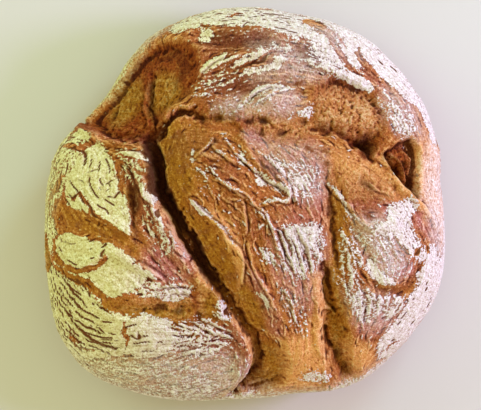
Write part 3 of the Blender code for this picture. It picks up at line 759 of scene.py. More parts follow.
CRUMB: tuple[Patch | Streak, ...] = (
    Streak(((-131, -20), (-127, -32), (-129, -46)), 4.0, 0.7, 2.0),
    Streak(((52, -36), (53, -50), (55, -64), (55, -78), (58, -92), (63, -106)), 4.0, 0.8, 2.0),
    Streak(((-132, 62), (-112, 57), (-92, 49), (-72, 42), (-56, 45)), 3.0, 0.9, 2.0),
    Patch(((-112, 62), (-100, 78), (-86, 96), (-64, 106), (-42, 104), (-30, 96), (-27, 84),
           (-33, 72), (-46, 61), (-56, 50), (-62, 40), (-84, 42), (-98, 48), (-106, 54)), 1.0, 2.0),
    Patch(((40, 68), (46, 75), (58, 77), (70, 70), (79, 68), (84, 56), (86, 46), (82, 36),
           (78, 26), (70, 30), (64, 38), (54, 42), (42, 46), (40, 56)), 1.0, 2.5),
    Patch(((-30, 58), (-14, 60), (0, 58), (14, 54), (26, 54), (38, 50), (40, 42), (26, 38),
           (8, 42), (-12, 46), (-28, 48)), 0.75, 4.0),
    Patch(((84, 29), (90, 36), (98, 38), (104, 28), (108, 14), (109, 4), (104, 5), (96, 14),
           (87, 24)), 0.9, 2.0),
    Patch(((-78, -54), (-66, -56), (-52, -53), (-40, -56), (-30, -56), (-30, -66), (-44, -66),
           (-60, -61), (-74, -58)), 0.8, 2.0),
    Patch(((-30, -40), (-23, -48), (-20, -58), (-22, -70), (-30, -66), (-30, -52)), 0.7, 2.5),
    Patch(((8, -86), (20, -88), (26, -98), (24, -112), (14, -126), (-4, -124), (6, -108),
           (9, -96)), 0.45, 3.0),
    Patch(((50, -56), (60, -64), (62, -84), (66, -98), (64, -112), (54, -100), (50, -84)), 0.6, 3.0),
    Patch(((52, 22), (62, 26), (78, 20), (94, 12), (96, 4), (84, 4), (74, -4), (62, 4)), 0.45, 4.0),
    Patch(((-8, -50), (4, -50), (10, -64), (10, -78), (2, -76), (-6, -64)), 0.35, 3.0),
)

OCHRE: tuple[Patch | Streak, ...] = (
    Streak(((50, 14), (52, 0), (54, -16), (55, -30), (52, -44), (54, -60), (54, -76), (58, -92),
            (63, -106)), 4.0, 0.9, 2.0),
    Patch(((-54, 46), (-44, 52), (-30, 50), (-22, 40), (-30, 26), (-28, 10), (-34, 2), (-22, -10),
           (-10, -24), (-4, -36), (-6, -50), (-12, -58), (-22, -46), (-32, -26), (-44, -8),
           (-52, 16)), 1.0, 5.0),
    Patch(((-8, -52), (4, -50), (10, -62), (11, -78), (4, -80), (-4, -68)), 0.9, 4.0),
    Patch(((-119, 2), (-104, -3), (-90, -8), (-76, -12), (-64, -22), (-56, -36), (-66, -30),
           (-80, -22), (-96, -18), (-112, -10)), 0.85, 4.0),
    Patch(((-96, 84), (-86, 90), (-74, 84), (-70, 66), (-84, 56), (-100, 64)), 1.0, 5.0),
    Patch(((-60, 84), (-46, 82), (-40, 70), (-48, 60), (-62, 62)), 0.95, 4.0),
    Patch(((-22, 60), (-10, 60), (-8, 50), (-22, 50)), 0.6, 4.0),
    Patch(((48, 14), (56, 4), (62, -12), (68, -28), (62, -36), (54, -34), (50, -10)), 0.95, 4.0),
    Patch(((50, -50), (58, -56), (62, -74), (60, -90), (52, -84), (50, -66)), 0.9, 3.0),
    Patch(((8, -86), (22, -90), (28, -102), (20, -122), (4, -124), (10, -104)), 0.85, 5.0),
    Patch(((-24, -50), (-18, -54), (-18, -68), (-25, -66)), 0.9, 3.0),
    Patch(((-80, -52), (-60, -55), (-34, -56), (-32, -66), (-60, -64), (-78, -58)), 1.0, 3.0),
    Streak(((-131, -20), (-127, -32), (-129, -46)), 5.0, 0.9, 2.5),
    Patch(((40, 60), (50, 56), (52, 46), (42, 46)), 0.5, 5.0),
    Streak(((-114, -37), (-98, -43), (-84, -47), (-76, -56)), 3.0, 0.8),
    Streak(((-118, -24), (-110, -35), (-96, -38), (-82, -34)), 3.0, 0.8),
    Streak(((-114, 18), (-120, 10), (-127, 1)), 3.0, 0.7),
)

BLUSH: tuple[Patch | Streak, ...] = (
    Streak(((-2, 52), (5, 41), (11, 29), (16, 18)), 5.0, 0.75, 3.0),
    Patch(((-56, -26), (-42, -22), (-32, -30), (-30, -44), (-44, -48), (-58, -42)), 1.0, 5.0),
    Patch(((-60, 6), (-50, -6), (-40, -20), (-36, -34), (-48, -34), (-60, -10)), 0.6, 4.0),
    Patch(((-24, -80), (-12, -72), (0, -84), (4, -96), (0, -112), (-12, -104), (-24, -94)), 0.95, 5.0),
    Patch(((0, -40), (8, -44), (16, -58), (22, -72), (20, -82), (14, -74), (8, -58)), 0.9, 3.0),
    Patch(((20, 36), (44, 34), (50, 10), (48, -20), (46, -44), (36, -60), (24, -50), (14, -30),
           (20, -4), (32, 8)), 0.6, 6.0),
    Patch(((60, 2), (78, 4), (92, 0), (90, -14), (78, -12), (66, -4)), 0.85, 4.0),
    Patch(((102, -6), (114, -4), (122, -14), (118, -24), (106, -20)), 0.9, 4.0),
    Patch(((80, -34), (94, -32), (102, -38), (92, -44), (80, -42)), 0.9, 4.0),
    Patch(((70, -62), (82, -60), (88, -68), (82, -80), (72, -82), (66, -74)), 0.8, 4.0),
    Patch(((108, 36), (122, 36), (138, 6), (136, -30), (122, -20), (112, 4)), 0.5, 6.0),
    Patch(((16, 66), (28, 66), (30, 58), (20, 56)), 0.8, 4.0),
    Patch(((4, 104), (20, 104), (32, 98), (50, 94), (56, 84), (40, 78), (20, 84), (6, 92)), 0.8, 5.0),
    Patch(((48, 112), (58, 104), (66, 92), (78, 80), (92, 68), (104, 56), (98, 44), (86, 50),
           (76, 74), (60, 84), (52, 98)), 0.7, 5.0),
    Patch(((-40, -100), (-10, -100), (-6, -122), (-40, -124), (-70, -114)), 0.6, 8.0),
)

AMBER: tuple[Patch | Streak, ...] = (
    Streak(((107, 38), (112, 26), (114, 10), (113, -4), (110, -12)), 2.6, 0.85, 2.0),
    Patch(((110, 40), (124, 44), (142, 20), (144, -30), (130, -30), (118, -6), (111, 10)), 0.9, 5.0),
    Patch(((20, -124), (56, -114), (86, -94), (112, -100), (70, -146), (16, -150)), 0.8, 7.0),
    Streak(((-31, -34), (-25, -46), (-17, -56), (-8, -69), (0, -81), (3, -94), (0, -110)), 1.3, 0.95, 1.0),
    Patch(((40, -42), (46, -44), (48, -64), (46, -88), (50, -98), (46, -116), (26, -118),
           (22, -84), (34, -76), (41, -62)), 1.0, 4.0),
    Patch(((58, -84), (70, -84), (80, -92), (76, -104), (64, -100)), 0.9, 4.0),
    Patch(((50, 30), (64, 28), (80, 20), (98, 10), (96, 2), (80, 6), (66, 6), (56, 14)), 0.9, 5.0),
    Streak(((70, 27), (82, 18), (91, 14), (98, 9), (104, 3), (112, -3), (122, -11)), 2.6, 0.9),
    Streak(((80, 30), (86, 26), (92, 29)), 2.0, 0.8),
    Streak(((106, 38), (109, 24), (111, 6)), 2.4, 0.9),
    Streak(((-28, -41), (-25, -50), (-26, -60)), 3.2, 0.95),
    Streak(((4, -84), (4, -96), (2, -110), (-4, -118)), 2.4, 0.95),
    Streak(((-66, -57), (-54, -54), (-42, -57), (-33, -58)), 2.6, 0.55, 2.0),
    Patch(((42, 66), (60, 70), (78, 62), (80, 46), (66, 44), (48, 50)), 0.85, 6.0),
    Patch(((0, 56), (20, 52), (38, 48), (30, 40), (10, 44)), 0.8, 5.0),
    Streak(((37, 118), (42, 114), (49, 111)), 3.0, 0.8),
    Streak(((-12, -18), (-5, -28), (-3, -40), (-4, -50)), 2.4, 0.8),
    Streak(((-22, -2), (-12, -12), (-4, -24)), 2.6, 0.7),
    Streak(((-66, 24), (-64, 16)), 2.6, 0.7),
    Patch(((4, 36), (14, 30), (8, 22), (-2, 32)), 0.4, 4.0),
)

BAKED: tuple[Patch | Streak, ...] = (
    Patch(((-24, 106), (-4, 106), (14, 102), (22, 96), (14, 91), (0, 90), (-14, 94), (-24, 96)), 0.9, 4.0),
    Patch(((-26, 78), (-8, 77), (10, 76), (30, 75), (34, 71), (12, 71), (-4, 66), (-22, 66)), 0.9, 4.0),
    Patch(((28, 97), (44, 97), (50, 88), (44, 82), (32, 84)), 0.7, 4.0),
    Patch(((-132, 66), (-112, 60), (-90, 52), (-70, 47), (-54, 50), (-54, 42), (-68, 37), (-86, 41),
           (-104, 48), (-126, 58)), 0.9, 2.5),
    Patch(((-72, 26), (-64, 24), (-60, 12), (-66, 8), (-72, 14)), 0.7, 2.5),
    Patch(((-20, 34), (-8, 26), (0, 16), (-8, 12), (-22, 24)), 0.4, 5.0),
    Patch(((-12, 6), (8, -4), (14, -16), (6, -24), (-6, -14)), 0.4, 5.0),
    Streak(((6, 28), (12, 22), (19, 15), (25, 9)), 1.8, 0.8),
    Patch(((60, 14), (74, 18), (86, 12), (82, 2), (66, 4)), 0.5, 4.0),
    Patch(((-12, -74), (-4, -78), (2, -92), (0, -108), (-10, -100)), 0.3, 4.0),
    Streak(((50, 77), (60, 77), (70, 72), (78, 66)), 2.2, 0.6),
    Patch(((-46, 36), (-36, 47), (-25, 45), (-22, 34), (-34, 26)), 0.45, 4.0),
    Streak(((-40, -8), (-30, -24), (-20, -40), (-12, -52)), 2.0, 0.4, 2.0),
    Streak(((40, 116), (50, 106), (58, 92), (67, 81)), 2.6, 0.7),
    Streak(((70, 98), (74, 85), (80, 72)), 3.0, 0.6),
    Patch(((-30, 104), (-24, 74), (-30, 60), (-8, 62), (0, 72), (20, 78), (22, 96), (0, 106)), 0.55, 5.0),
    Streak(((67, -40), (73, -46), (80, -50), (90, -49), (99, -43), (105, -36)), 2.0, 0.6),
    Patch(((-46, -76), (-30, -72), (-20, -80), (-30, -90), (-44, -86)), 0.35, 4.0),
)

# Dark patches in tears, holes and pits: partly dark crumb, partly painted shade where they lie in shadow.
DARK: tuple[Patch | Streak, ...] = (
    # The floor of the long west tear, darkened: partly its dark crumb, partly painted shade.
    Patch(((-64, 40), (-61, 24), (-57, 5), (-51, -1), (-44, -9), (-39, -16), (-33, -24), (-29, -36),
           (-23, -46), (-14, -48), (-21, -40), (-23, -31), (-26, -21), (-35, -16), (-38, -8),
           (-42, 1), (-44, 7), (-49, 15), (-52, 24), (-53, 37)), 1.0, 1.0),
    Streak(((-22, -44), (-14, -53), (-7, -63), (0, -73), (6, -83), (7, -93)), 2.0, 0.4, 1.6),
    Patch(((-70, 11), (-65, 11), (-62, 5), (-64, -5), (-67, -8), (-69, -2)), 0.8, 1.8),
    Streak(((-66, -8), (-64, -15), (-62, -24)), 1.6, 0.5),
    Patch(((-76, 44), (-62, 46), (-50, 50), (-56, 40), (-64, 38)), 0.6, 3.0),
    Streak(((-63, 84), (-62, 72), (-62, 60)), 1.8, 0.7),
    Streak(((-95, 70), (-95, 60)), 2.0, 0.7),
    Streak(((-44, 76), (-38, 86), (-44, 96), (-60, 98)), 4.0, 0.4),
    Streak(((-20, 37), (-16, 37)), 1.8, 0.8),
    Patch(((68, 40), (76, 42), (79, 34), (76, 28), (70, 31)), 0.85, 2.0),
    Streak(((88, 25), (93, 20), (98, 15)), 2.6, 0.8),
    Streak(((101, 12), (105, 9), (108, 5)), 2.4, 0.85),
    Streak(((97, 30), (101, 23), (104, 17)), 1.4, 0.6),
    Streak(((84, 28), (88, 32)), 2.0, 0.6),
    Streak(((50, 75), (60, 75), (70, 71)), 2.2, 0.45),
    Patch(((44, 49), (52, 48), (50, 42), (44, 44)), 0.5, 2.5),
    Streak(((55, 42), (62, 42)), 2.0, 0.5),
    Patch(((70, 17), (76, 12), (76, 8), (70, 12)), 0.6, 2.0),
    Patch(((70, -4), (76, -5), (77, -10), (72, -10)), 0.5, 2.0),
    Streak(((51, 0), (52, -8)), 2.2, 0.7),
    Patch(((28, 97), (46, 96), (48, 84), (34, 84)), 0.35, 5.0),
    Patch(((-20, 106), (0, 108), (18, 104), (10, 96), (-16, 96)), 0.4, 5.0),
    Patch(((-12, 76), (6, 76), (12, 70), (2, 64), (-10, 68)), 0.35, 5.0),
    Patch(((6, -86), (10, -86), (10, -112), (2, -118), (4, -104)), 0.6, 2.5),
    Streak(((-8, -124), (2, -120), (10, -118)), 2.6, 0.6),
    Patch(((54, -89), (59, -90), (59, -97), (55, -97)), 0.8, 2.0),
    Patch(((60, -101), (65, -102), (65, -110), (61, -109)), 0.6, 2.0),
    Streak(((9, -61), (11, -63)), 1.6, 0.8),
    Streak(((36, 34), (40, 31)), 1.8, 0.6),
    Streak(((45, 33), (49, 30)), 1.4, 0.6),
    Streak(((47, 25), (50, 23)), 1.4, 0.7),
    Streak(((31, 72), (35, 73)), 1.4, 0.6),
    Streak(((33, 66), (37, 67)), 1.6, 0.6),
    Patch(((-52, -58), (-46, -56), (-46, -59), (-51, -61)), 0.8, 1.5),
    Patch(((-43, -61), (-36, -60), (-36, -63), (-42, -63)), 0.8, 1.5),
    Streak(((-28, -65), (-25, -66)), 1.5, 0.8),
    Streak(((0, 50), (5, 49)), 1.8, 0.9),
    Streak(((8, 50), (14, 49)), 2.2, 1.0),
    Streak(((-18, 51), (-14, 53)), 1.8, 0.8),
    Streak(((-26, 53), (-25, 50)), 2.0, 0.7),
    Streak(((8, 43), (11, 42)), 1.9, 0.8),
    Streak(((20, 42), (24, 43)), 1.9, 0.8),
    Streak(((33, 49), (36, 48)), 1.7, 0.7),
    Streak(((-127, -30), (-124, -38)), 3.0, 0.8),
)

CRACKS: tuple[Streak, ...] = (
    Streak(((-117, 33), (-109, 35), (-101, 32), (-98, 26), (-99, 20)), 0.9, 0.9),
    Streak(((-106, 28), (-107, 20)), 0.8, 0.7),
    Streak(((-112, 16), (-112, 9), (-112, 2)), 0.8, 0.7),
    Streak(((-96, 19), (-89, 21)), 0.8, 0.8),
    Streak(((-96, 17), (-92, 20)), 0.8, 0.6),
    Streak(((-86, 16), (-84, 20)), 0.8, 0.7),
    Streak(((-92, 13), (-86, 15)), 0.8, 0.6),
    Streak(((-84, 12), (-78, 15)), 0.9, 0.8),
    Streak(((-84, 6), (-80, 9)), 0.8, 0.8),
    Streak(((-83, 4), (-76, 5)), 0.8, 0.8),
    Streak(((-77, 4), (-73, 8)), 0.9, 0.9),
    Streak(((-102, 15), (-97, 12)), 0.9, 0.8),
    Streak(((-87, 11), (-86, 8)), 0.8, 0.8),
    Streak(((-108, 7), (-104, 5), (-100, 8)), 0.9, 0.9),
    Streak(((-96, 3), (-91, -3), (-85, -9)), 0.9, 1.0),
    Streak(((-88, -3), (-82, -2), (-74, -3)), 0.7, 0.5),
    Streak(((-87, -13), (-86, -10)), 1.0, 0.8),
    Streak(((-117, -16), (-112, -21), (-105, -24), (-96, -23)), 0.8, 0.8),
    Streak(((-83, -25), (-81, -23)), 1.1, 0.9),
    Streak(((-81, -26), (-82, -31)), 0.9, 0.9),
    Streak(((-95, -31), (-90, -29)), 0.8, 0.6),
    Streak(((-128, -10), (-122, -6)), 0.8, 0.7),
    Streak(((-126, -18), (-119, -12)), 0.8, 0.7),
    Streak(((-109, -40), (-104, -44), (-101, -47)), 0.8, 0.8),
    Streak(((-101, -43), (-97, -44), (-92, -47), (-88, -51)), 0.8, 0.9),
    Streak(((-101, -45), (-96, -48), (-93, -51)), 0.8, 0.8),
    Streak(((-106, -45), (-101, -49), (-97, -52), (-91, -54)), 0.9, 0.95),
    Streak(((-104, -52), (-99, -55), (-93, -58), (-90, -60)), 0.9, 0.9),
    Streak(((-112, -48), (-107, -54), (-101, -57)), 0.8, 0.8),
    Streak(((-107, -56), (-102, -58), (-97, -61)), 0.7, 0.8),
    Streak(((-109, -58), (-103, -61), (-98, -64), (-92, -67), (-88, -69), (-83, -71), (-79, -72)), 0.9, 1.0),
    Streak(((-98, -68), (-92, -71), (-88, -74), (-83, -77), (-78, -79), (-73, -80), (-69, -80)), 1.0, 0.95),
    Streak(((-83, -76), (-79, -75), (-74, -75), (-70, -77), (-68, -76)), 0.8, 0.8),
    Streak(((-86, -61), (-82, -62), (-79, -63)), 0.8, 0.8),
    Streak(((-86, -65), (-81, -67), (-77, -67)), 0.8, 0.8),
    Streak(((-85, -54), (-81, -57), (-76, -58)), 0.9, 0.9),
    Streak(((-99, -80), (-92, -81), (-86, -83)), 0.9, 0.8),
    Streak(((-88, -86), (-82, -88)), 0.8, 0.6),
    Streak(((-63, -73), (-59, -75), (-58, -71)), 0.9, 0.9),
    Streak(((-62, -70), (-57, -68)), 0.7, 0.6),
    Streak(((-65, -80), (-61, -79), (-60, -81)), 0.8, 0.7),
    Streak(((-50, -80), (-44, -80)), 0.9, 0.7),
    Streak(((-76, -100), (-70, -103), (-63, -105), (-56, -103)), 0.9, 0.7),
    Streak(((-31, -89), (-24, -86), (-16, -83), (-11, -82)), 0.8, 0.7),
    Streak(((-28, -84), (-22, -82)), 0.8, 0.7),
    Streak(((-61, -38), (-60, -46)), 0.9, 0.7),
    Streak(((-56, -40), (-52, -44)), 1.0, 0.8),
    Streak(((-52, -4), (-52, -8)), 1.8, 0.9),
    Streak(((3, 62), (6, 64), (10, 66)), 0.8, 0.9),
    Streak(((-9, 79), (-1, 83), (5, 85), (10, 87), (15, 90)), 1.0, 0.9),
    Streak(((-29, 114), (-26, 112), (-20, 111)), 1.0, 0.9),
    Streak(((3, 118), (7, 115)), 0.8, 0.7),
    Streak(((-1, 110), (2, 114)), 0.9, 0.8),
    Streak(((25, 118), (27, 113)), 0.8, 0.8),
    Streak(((32, 118), (38, 113)), 0.8, 0.7),
    Streak(((33, 107), (37, 105)), 0.8, 0.7),
    Streak(((29, 100), (34, 99)), 0.8, 0.6),
    Streak(((6, 28), (11, 22), (19, 14), (24, 9)), 1.0, 0.8),
    Streak(((0, 40), (5, 32), (10, 24)), 0.8, 0.5),
    Streak(((16, 28), (21, 21), (27, 14)), 0.7, 0.7),
    Streak(((10, 16), (13, 11)), 0.8, 0.8),
    Streak(((1, -24), (1, -30), (5, -39), (10, -46), (13, -53)), 0.9, 0.6),
    Streak(((-16, 36), (-20, 35)), 0.8, 0.7),
    Streak(((21, -15), (24, -22), (28, -31)), 0.9, 0.9),
    Streak(((24, -16), (29, -25), (34, -36)), 0.8, 0.9),
    Streak(((30, -18), (34, -26), (38, -34)), 0.8, 0.8),
    Streak(((20, -22), (24, -32), (30, -44)), 0.8, 0.8),
    Streak(((36, -20), (40, -28), (43, -36)), 0.7, 0.6),
    Streak(((62, -1), (66, -6), (71, -12)), 0.8, 0.8),
    Streak(((88, -20), (90, -25), (95, -28), (99, -29)), 0.9, 0.9),
    Streak(((100, -29), (105, -25)), 1.1, 0.9),
    Streak(((109, -28), (110, -24)), 0.9, 0.8),
    Streak(((98, -9), (96, -17)), 0.8, 0.8),
    Streak(((93, -5), (92, -12)), 0.8, 0.7),
    Streak(((79, -64), (74, -72), (71, -78)), 1.0, 0.7),
    Streak(((98, -34), (94, -40)), 0.8, 0.6),
    Streak(((57, 104), (61, 98), (64, 93)), 0.8, 0.6),
)


CRAZED: tuple[Patch | Streak, ...] = (
    Patch(((-112, -40), (-98, -44), (-84, -50), (-74, -58), (-74, -72), (-80, -84), (-96, -94),
           (-114, -84), (-126, -64), (-126, -46)), 1.0, 4.0),
    Patch(((-96, -88), (-60, -88), (-20, -92), (-8, -124), (-40, -130), (-80, -116)), 0.3, 6.0),
    Patch(((-97, 36), (-84, 28), (-76, 8), (-66, -14), (-84, -6), (-106, 0), (-108, 16)), 0.5, 4.0),
    Patch(((-112, -20), (-84, -24), (-86, -34), (-104, -36)), 0.4, 4.0),
    Patch(((-132, 40), (-112, 40), (-112, 6), (-136, -20)), 0.6, 6.0),
    Patch(((-64, -66), (-40, -68), (-40, -84), (-62, -84)), 0.5, 4.0),
    Patch(((-44, 116), (-4, 112), (36, 106), (44, 124), (0, 138), (-40, 130)), 0.7, 5.0),
    Patch(((60, 108), (84, 92), (110, 60), (124, 34), (132, 20), (128, 70), (90, 112)), 0.35, 6.0),
    Patch(((90, -30), (118, -34), (124, -54), (96, -88), (84, -90)), 0.22, 6.0),
    Streak(((106, -36), (98, -52), (90, -66), (82, -82)), 4.0, 0.42, 2.0),
)


@dataclass(frozen=True)
class LoafBody:
    """The smooth loaf under its crust: a dome over a rounded underside, with a swelling outline."""

    radius: float = 124.5
    widest_height: float = 34.0
    crown_height: float = 80.0
    shoulder_fullness: float = 2.35
    foot_share: float = 0.82
    underside_rounding: float = 0.9
    profile_steps: int = 400
    swellings: tuple[tuple[float, float, float], ...] = (
        (-135, 18.0, 16.0),
        (146, -15.0, 18.0),
        (165, 5.0, 10.0),
        (-32, 6.5, 17.0),
        (-85, -5.0, 14.0),
        (85, -2.0, 22.0),
        (45, 2.5, 20.0),
        (1, -5.0, 8.5),
        (-60, 4.0, 9.0),
    )

    def profile(self) -> tuple[np.ndarray, np.ndarray, np.ndarray]:
        """Way along the crust from the crown, share of the radius and height, down to the foot."""
        over = np.linspace(0.0, math.pi / 2, self.profile_steps)
        under = over[1:]
        power = 2.0 / self.shoulder_fullness
        rounded = np.cos(under) ** self.underside_rounding
        share = np.concatenate((np.sin(over) ** power, self.foot_share + (1.0 - self.foot_share) * rounded))
        dome = (self.crown_height - self.widest_height) * np.cos(over) ** power
        height = np.concatenate((self.widest_height + dome, self.widest_height * (1.0 - np.sin(under))))
        steps = np.hypot(np.diff(share * self.radius), np.diff(height))
        return np.concatenate(((0.0,), np.cumsum(steps))), share, height

    def sheet_radius(self) -> float:
        """Way along the crust from the crown to the foot's edge."""
        return float(self.profile()[0][-1])

    def outline(self, turn: np.ndarray) -> np.ndarray:
        """Radius at the widest height, at bearings in radians."""
        radius = np.full_like(turn, self.radius)
        for bearing, swell, spread in self.swellings:
            off = 1.0 - np.cos(turn - math.radians(bearing))
            radius += swell * np.exp(-off / math.radians(spread) ** 2)
        return radius

    def lay(self, east: np.ndarray, north: np.ndarray) -> np.ndarray:
        """Position on the smooth loaf of places of the crust.

        Args:
            east: how far east each place lies.
            north: how far north each place lies.

        Returns:
            Points in millimetres, one a row.
        """
        way, share, height = self.profile()
        turn = np.arctan2(north, east)
        distance = np.hypot(east, north)
        at_share = np.interp(distance, way, share)
        radius = at_share * (self.radius + (self.outline(turn) - self.radius) * at_share ** 2)
        flat = radius * np.cos(turn), radius * np.sin(turn)
        return np.stack((*flat, np.interp(distance, way, height)), -1)

    def outward(self, east: np.ndarray, north: np.ndarray) -> np.ndarray:
        """Unit vectors that stand on the smooth loaf."""
        step = 0.8
        run_east = self.lay(east + step, north) - self.lay(east - step, north)
        run_north = self.lay(east, north + step) - self.lay(east, north - step)
        normal = np.cross(run_east, run_north)
        return normal / np.maximum(np.linalg.norm(normal, axis=-1, keepdims=True), 1e-9)


@dataclass(frozen=True)
class Stretch:
    """The ways in which the crust was pulled, on a square raster, and the grain that this drew in it."""

    radius: float
    cell: float = 0.8
    reach: float = 14.0
    length: int = 13

    def raster(self, cell: float) -> tuple[np.ndarray, np.ndarray]:
        """Places of a square raster over the whole crust."""
        steps = np.arange(-self.radius, self.radius + cell, cell)
        return np.meshgrid(steps, steps)

    def bearings(self) -> np.ndarray:
        """Bearing of the pull on the raster, in radians."""
        across, up = self.raster(self.cell)
        turn = np.arctan2(up, across)
        weight_cos = -0.12 * np.cos(2 * turn)
        weight_sin = -0.12 * np.sin(2 * turn)
        routes = list(PULLS) + [stroke.route for stroke in TEARS + FOLDS + VALLEYS]
        routes += [streak.route for streak in CRACKS if len(streak.route) > 3]
        for route in routes:
            near = near_mask(route, 2.2 * self.reach, across, up)
            course = follow(route, across[near], up[near])
            weight = np.exp(-(course.distance / self.reach) ** 2 * 2.0)
            ahead_east, ahead_north = course.ahead[..., 0], course.ahead[..., 1]
            weight_cos[near] += weight * (ahead_east ** 2 - ahead_north ** 2)
            weight_sin[near] += weight * 2.0 * ahead_east * ahead_north
        return 0.5 * np.arctan2(weight_sin, weight_cos)

    def grain(self, bearing: np.ndarray, coarse: int, seed: int) -> np.ndarray:
        """Random grain drawn out along the pull.

        Args:
            bearing: the pull's bearing on the raster.
            coarse: how many times the noise is blurred before it is drawn out.
            seed: which noise to draw.

        Returns:
            Ranks from 0 to 1, evenly spread, on the raster.
        """
        count = len(bearing)
        noise = np.random.default_rng(seed).uniform(0.0, 1.0, (count, count))
        for _ in range(coarse):
            noise = (noise + np.roll(noise, 1, 0) + np.roll(noise, -1, 0)
                     + np.roll(noise, 1, 1) + np.roll(noise, -1, 1)) / 5.0
        total = noise.copy()
        row, column = np.meshgrid(np.arange(count), np.arange(count), indexing="ij")
        for way in (1.0, -1.0):
            at_row, at_column = row.astype(float), column.astype(float)
            ahead_row, ahead_column = way * np.sin(bearing), way * np.cos(bearing)
            for _ in range(self.length):
                at_row = np.clip(at_row + ahead_row, 0, count - 1)
                at_column = np.clip(at_column + ahead_column, 0, count - 1)
                cell = at_row.round().astype(int), at_column.round().astype(int)
                total += noise[cell]
                next_row, next_column = np.sin(bearing[cell]), np.cos(bearing[cell])
                flip = np.sign(next_row * ahead_row + next_column * ahead_column + 1e-9)
                ahead_row, ahead_column = next_row * flip, next_column * flip
        ranks = np.empty(total.size)
        ranks[np.argsort(total, axis=None)] = np.linspace(0.0, 1.0, total.size)
        return ranks.reshape(total.shape)

    def sample(self, raster: np.ndarray, east: np.ndarray, north: np.ndarray) -> np.ndarray:
        """Values of a raster at places of the crust, blended between its cells."""
        count = len(raster)
        cell = 2.0 * self.radius / (count - 1)
        column = np.clip((east + self.radius) / cell, 0, count - 1.001)
        row = np.clip((north + self.radius) / cell, 0, count - 1.001)
        left, low = column.astype(int), row.astype(int)
        across, up = column - left, row - low
        lower = raster[low, left] * (1 - across) + raster[low, left + 1] * across
        upper = raster[low + 1, left] * (1 - across) + raster[low + 1, left + 1] * across
        return lower * (1 - up) + upper * up


@dataclass(frozen=True)
class Strands:
    """Short thin lines that follow the pull and keep apart from each other."""

    gap: float
    shortest: float
    longest: float
    wander: float = 0.5
    cell: float = 0.5
    width: float = 0.42
    seeds: int = 14000

    def trace(self, start: tuple[float, float], length: float, way: float, stretch: Stretch,
              bearing: np.ndarray, free: np.ndarray, sway: np.ndarray) -> list[tuple[float, float]]:
        """Follows the pull from a seed until the line is long enough or meets another.

        Args:
            start: the seed's place on the crust.
            length: how long the line may get.
            way: 1 to go ahead, -1 to go back.
            stretch: the crust's stretch.
            bearing: the pull's bearing on its raster.
            free: where on the strands' raster a line may run.
            sway: how far the line turns off the pull, on the strands' raster.

        Returns:
            The line's points.
        """
        place = np.array(start)
        heading = None
        points = []
        last = len(free) - 2
        while len(points) * self.cell < length:
            row, column = ((place[::-1] + stretch.radius) / self.cell).astype(int)
            if min(row, column) < 1 or max(row, column) > last or not free[row, column]:
                break
            points.append((place[0], place[1]))
            field_row, field_column = ((place[::-1] + stretch.radius) / stretch.cell).astype(int)
            turn = bearing[field_row, field_column] + sway[row, column]
            ahead = np.array((math.cos(turn), math.sin(turn)))
            ahead *= way if heading is None else math.copysign(1.0, ahead @ heading)
            heading = ahead
            place = place + self.cell * ahead
        return points

    def draw(self, cover: np.ndarray, stretch: Stretch, bearing: np.ndarray, seed: int) -> np.ndarray:
        """Draws the lines where they are wanted.

        Args:
            cover: how many lines are wanted on the strands' raster, from 0 to 1.
            stretch: the crust's stretch.
            bearing: the pull's bearing on its raster.
            seed: which lines to draw.

        Returns:
            1 on the lines and 0 away from them, on the strands' raster.
        """
        dice = np.random.default_rng(seed)
        count = len(cover)
        drawn = np.zeros_like(cover)
        free = cover > 0.08
        across, up = stretch.raster(self.cell)
        sway = self.wander * NOISE.waves(across, up, ((5.0, 1.0), (2.4, 0.8)), seed + 1)
        reach = math.ceil(5.0 * self.gap / self.cell)
        disc_row, disc_column = np.mgrid[-reach:reach + 1, -reach:reach + 1].reshape(2, -1)
        disc_reach = np.hypot(disc_row, disc_column) * self.cell
        for east, north, chance, luck in dice.uniform(0.0, 1.0, (self.seeds, 4)):
            start = ((2.0 * east - 1.0) * 0.97 * stretch.radius, (2.0 * north - 1.0) * 0.97 * stretch.radius)
            row, column = (int((value + stretch.radius) / self.cell) for value in start[::-1])
            if not free[row, column] or chance > cover[row, column]:
                continue
            share = luck * min(1.0, cover[row, column])
            half = 0.5 * (self.shortest + (self.longest - self.shortest) * share)
            points = [self.trace(start, half, way, stretch, bearing, free, sway) for way in (-1.0, 1.0)]
            line = np.array(points[0][::-1] + points[1])
            for number, (line_east, line_north) in enumerate(line):
                taper = min(1.0, 0.35 + 0.25 * min(number, len(line) - 1 - number))
                row_at, column_at = ((line_north + stretch.radius) / self.cell,
                                     (line_east + stretch.radius) / self.cell)
                for i in (0, 1):
                    for j in (0, 1):
                        cell_row, cell_column = int(row_at) + i, int(column_at) + j
                        off = math.hypot(cell_row - row_at, cell_column - column_at) * self.cell
                        value = taper * math.exp(-0.5 * (off / self.width) ** 2)
                        drawn[cell_row, cell_column] = max(drawn[cell_row, cell_column], value)
            disc = disc_reach <= self.gap / max(0.2, min(1.0, cover[row, column]))
            rows = ((line[::2, 1] + stretch.radius) / self.cell).astype(int)[:, None] + disc_row[disc]
            columns = ((line[::2, 0] + stretch.radius) / self.cell).astype(int)[:, None] + disc_column[disc]
            free[np.clip(rows, 0, count - 1), np.clip(columns, 0, count - 1)] = False
        return drawn


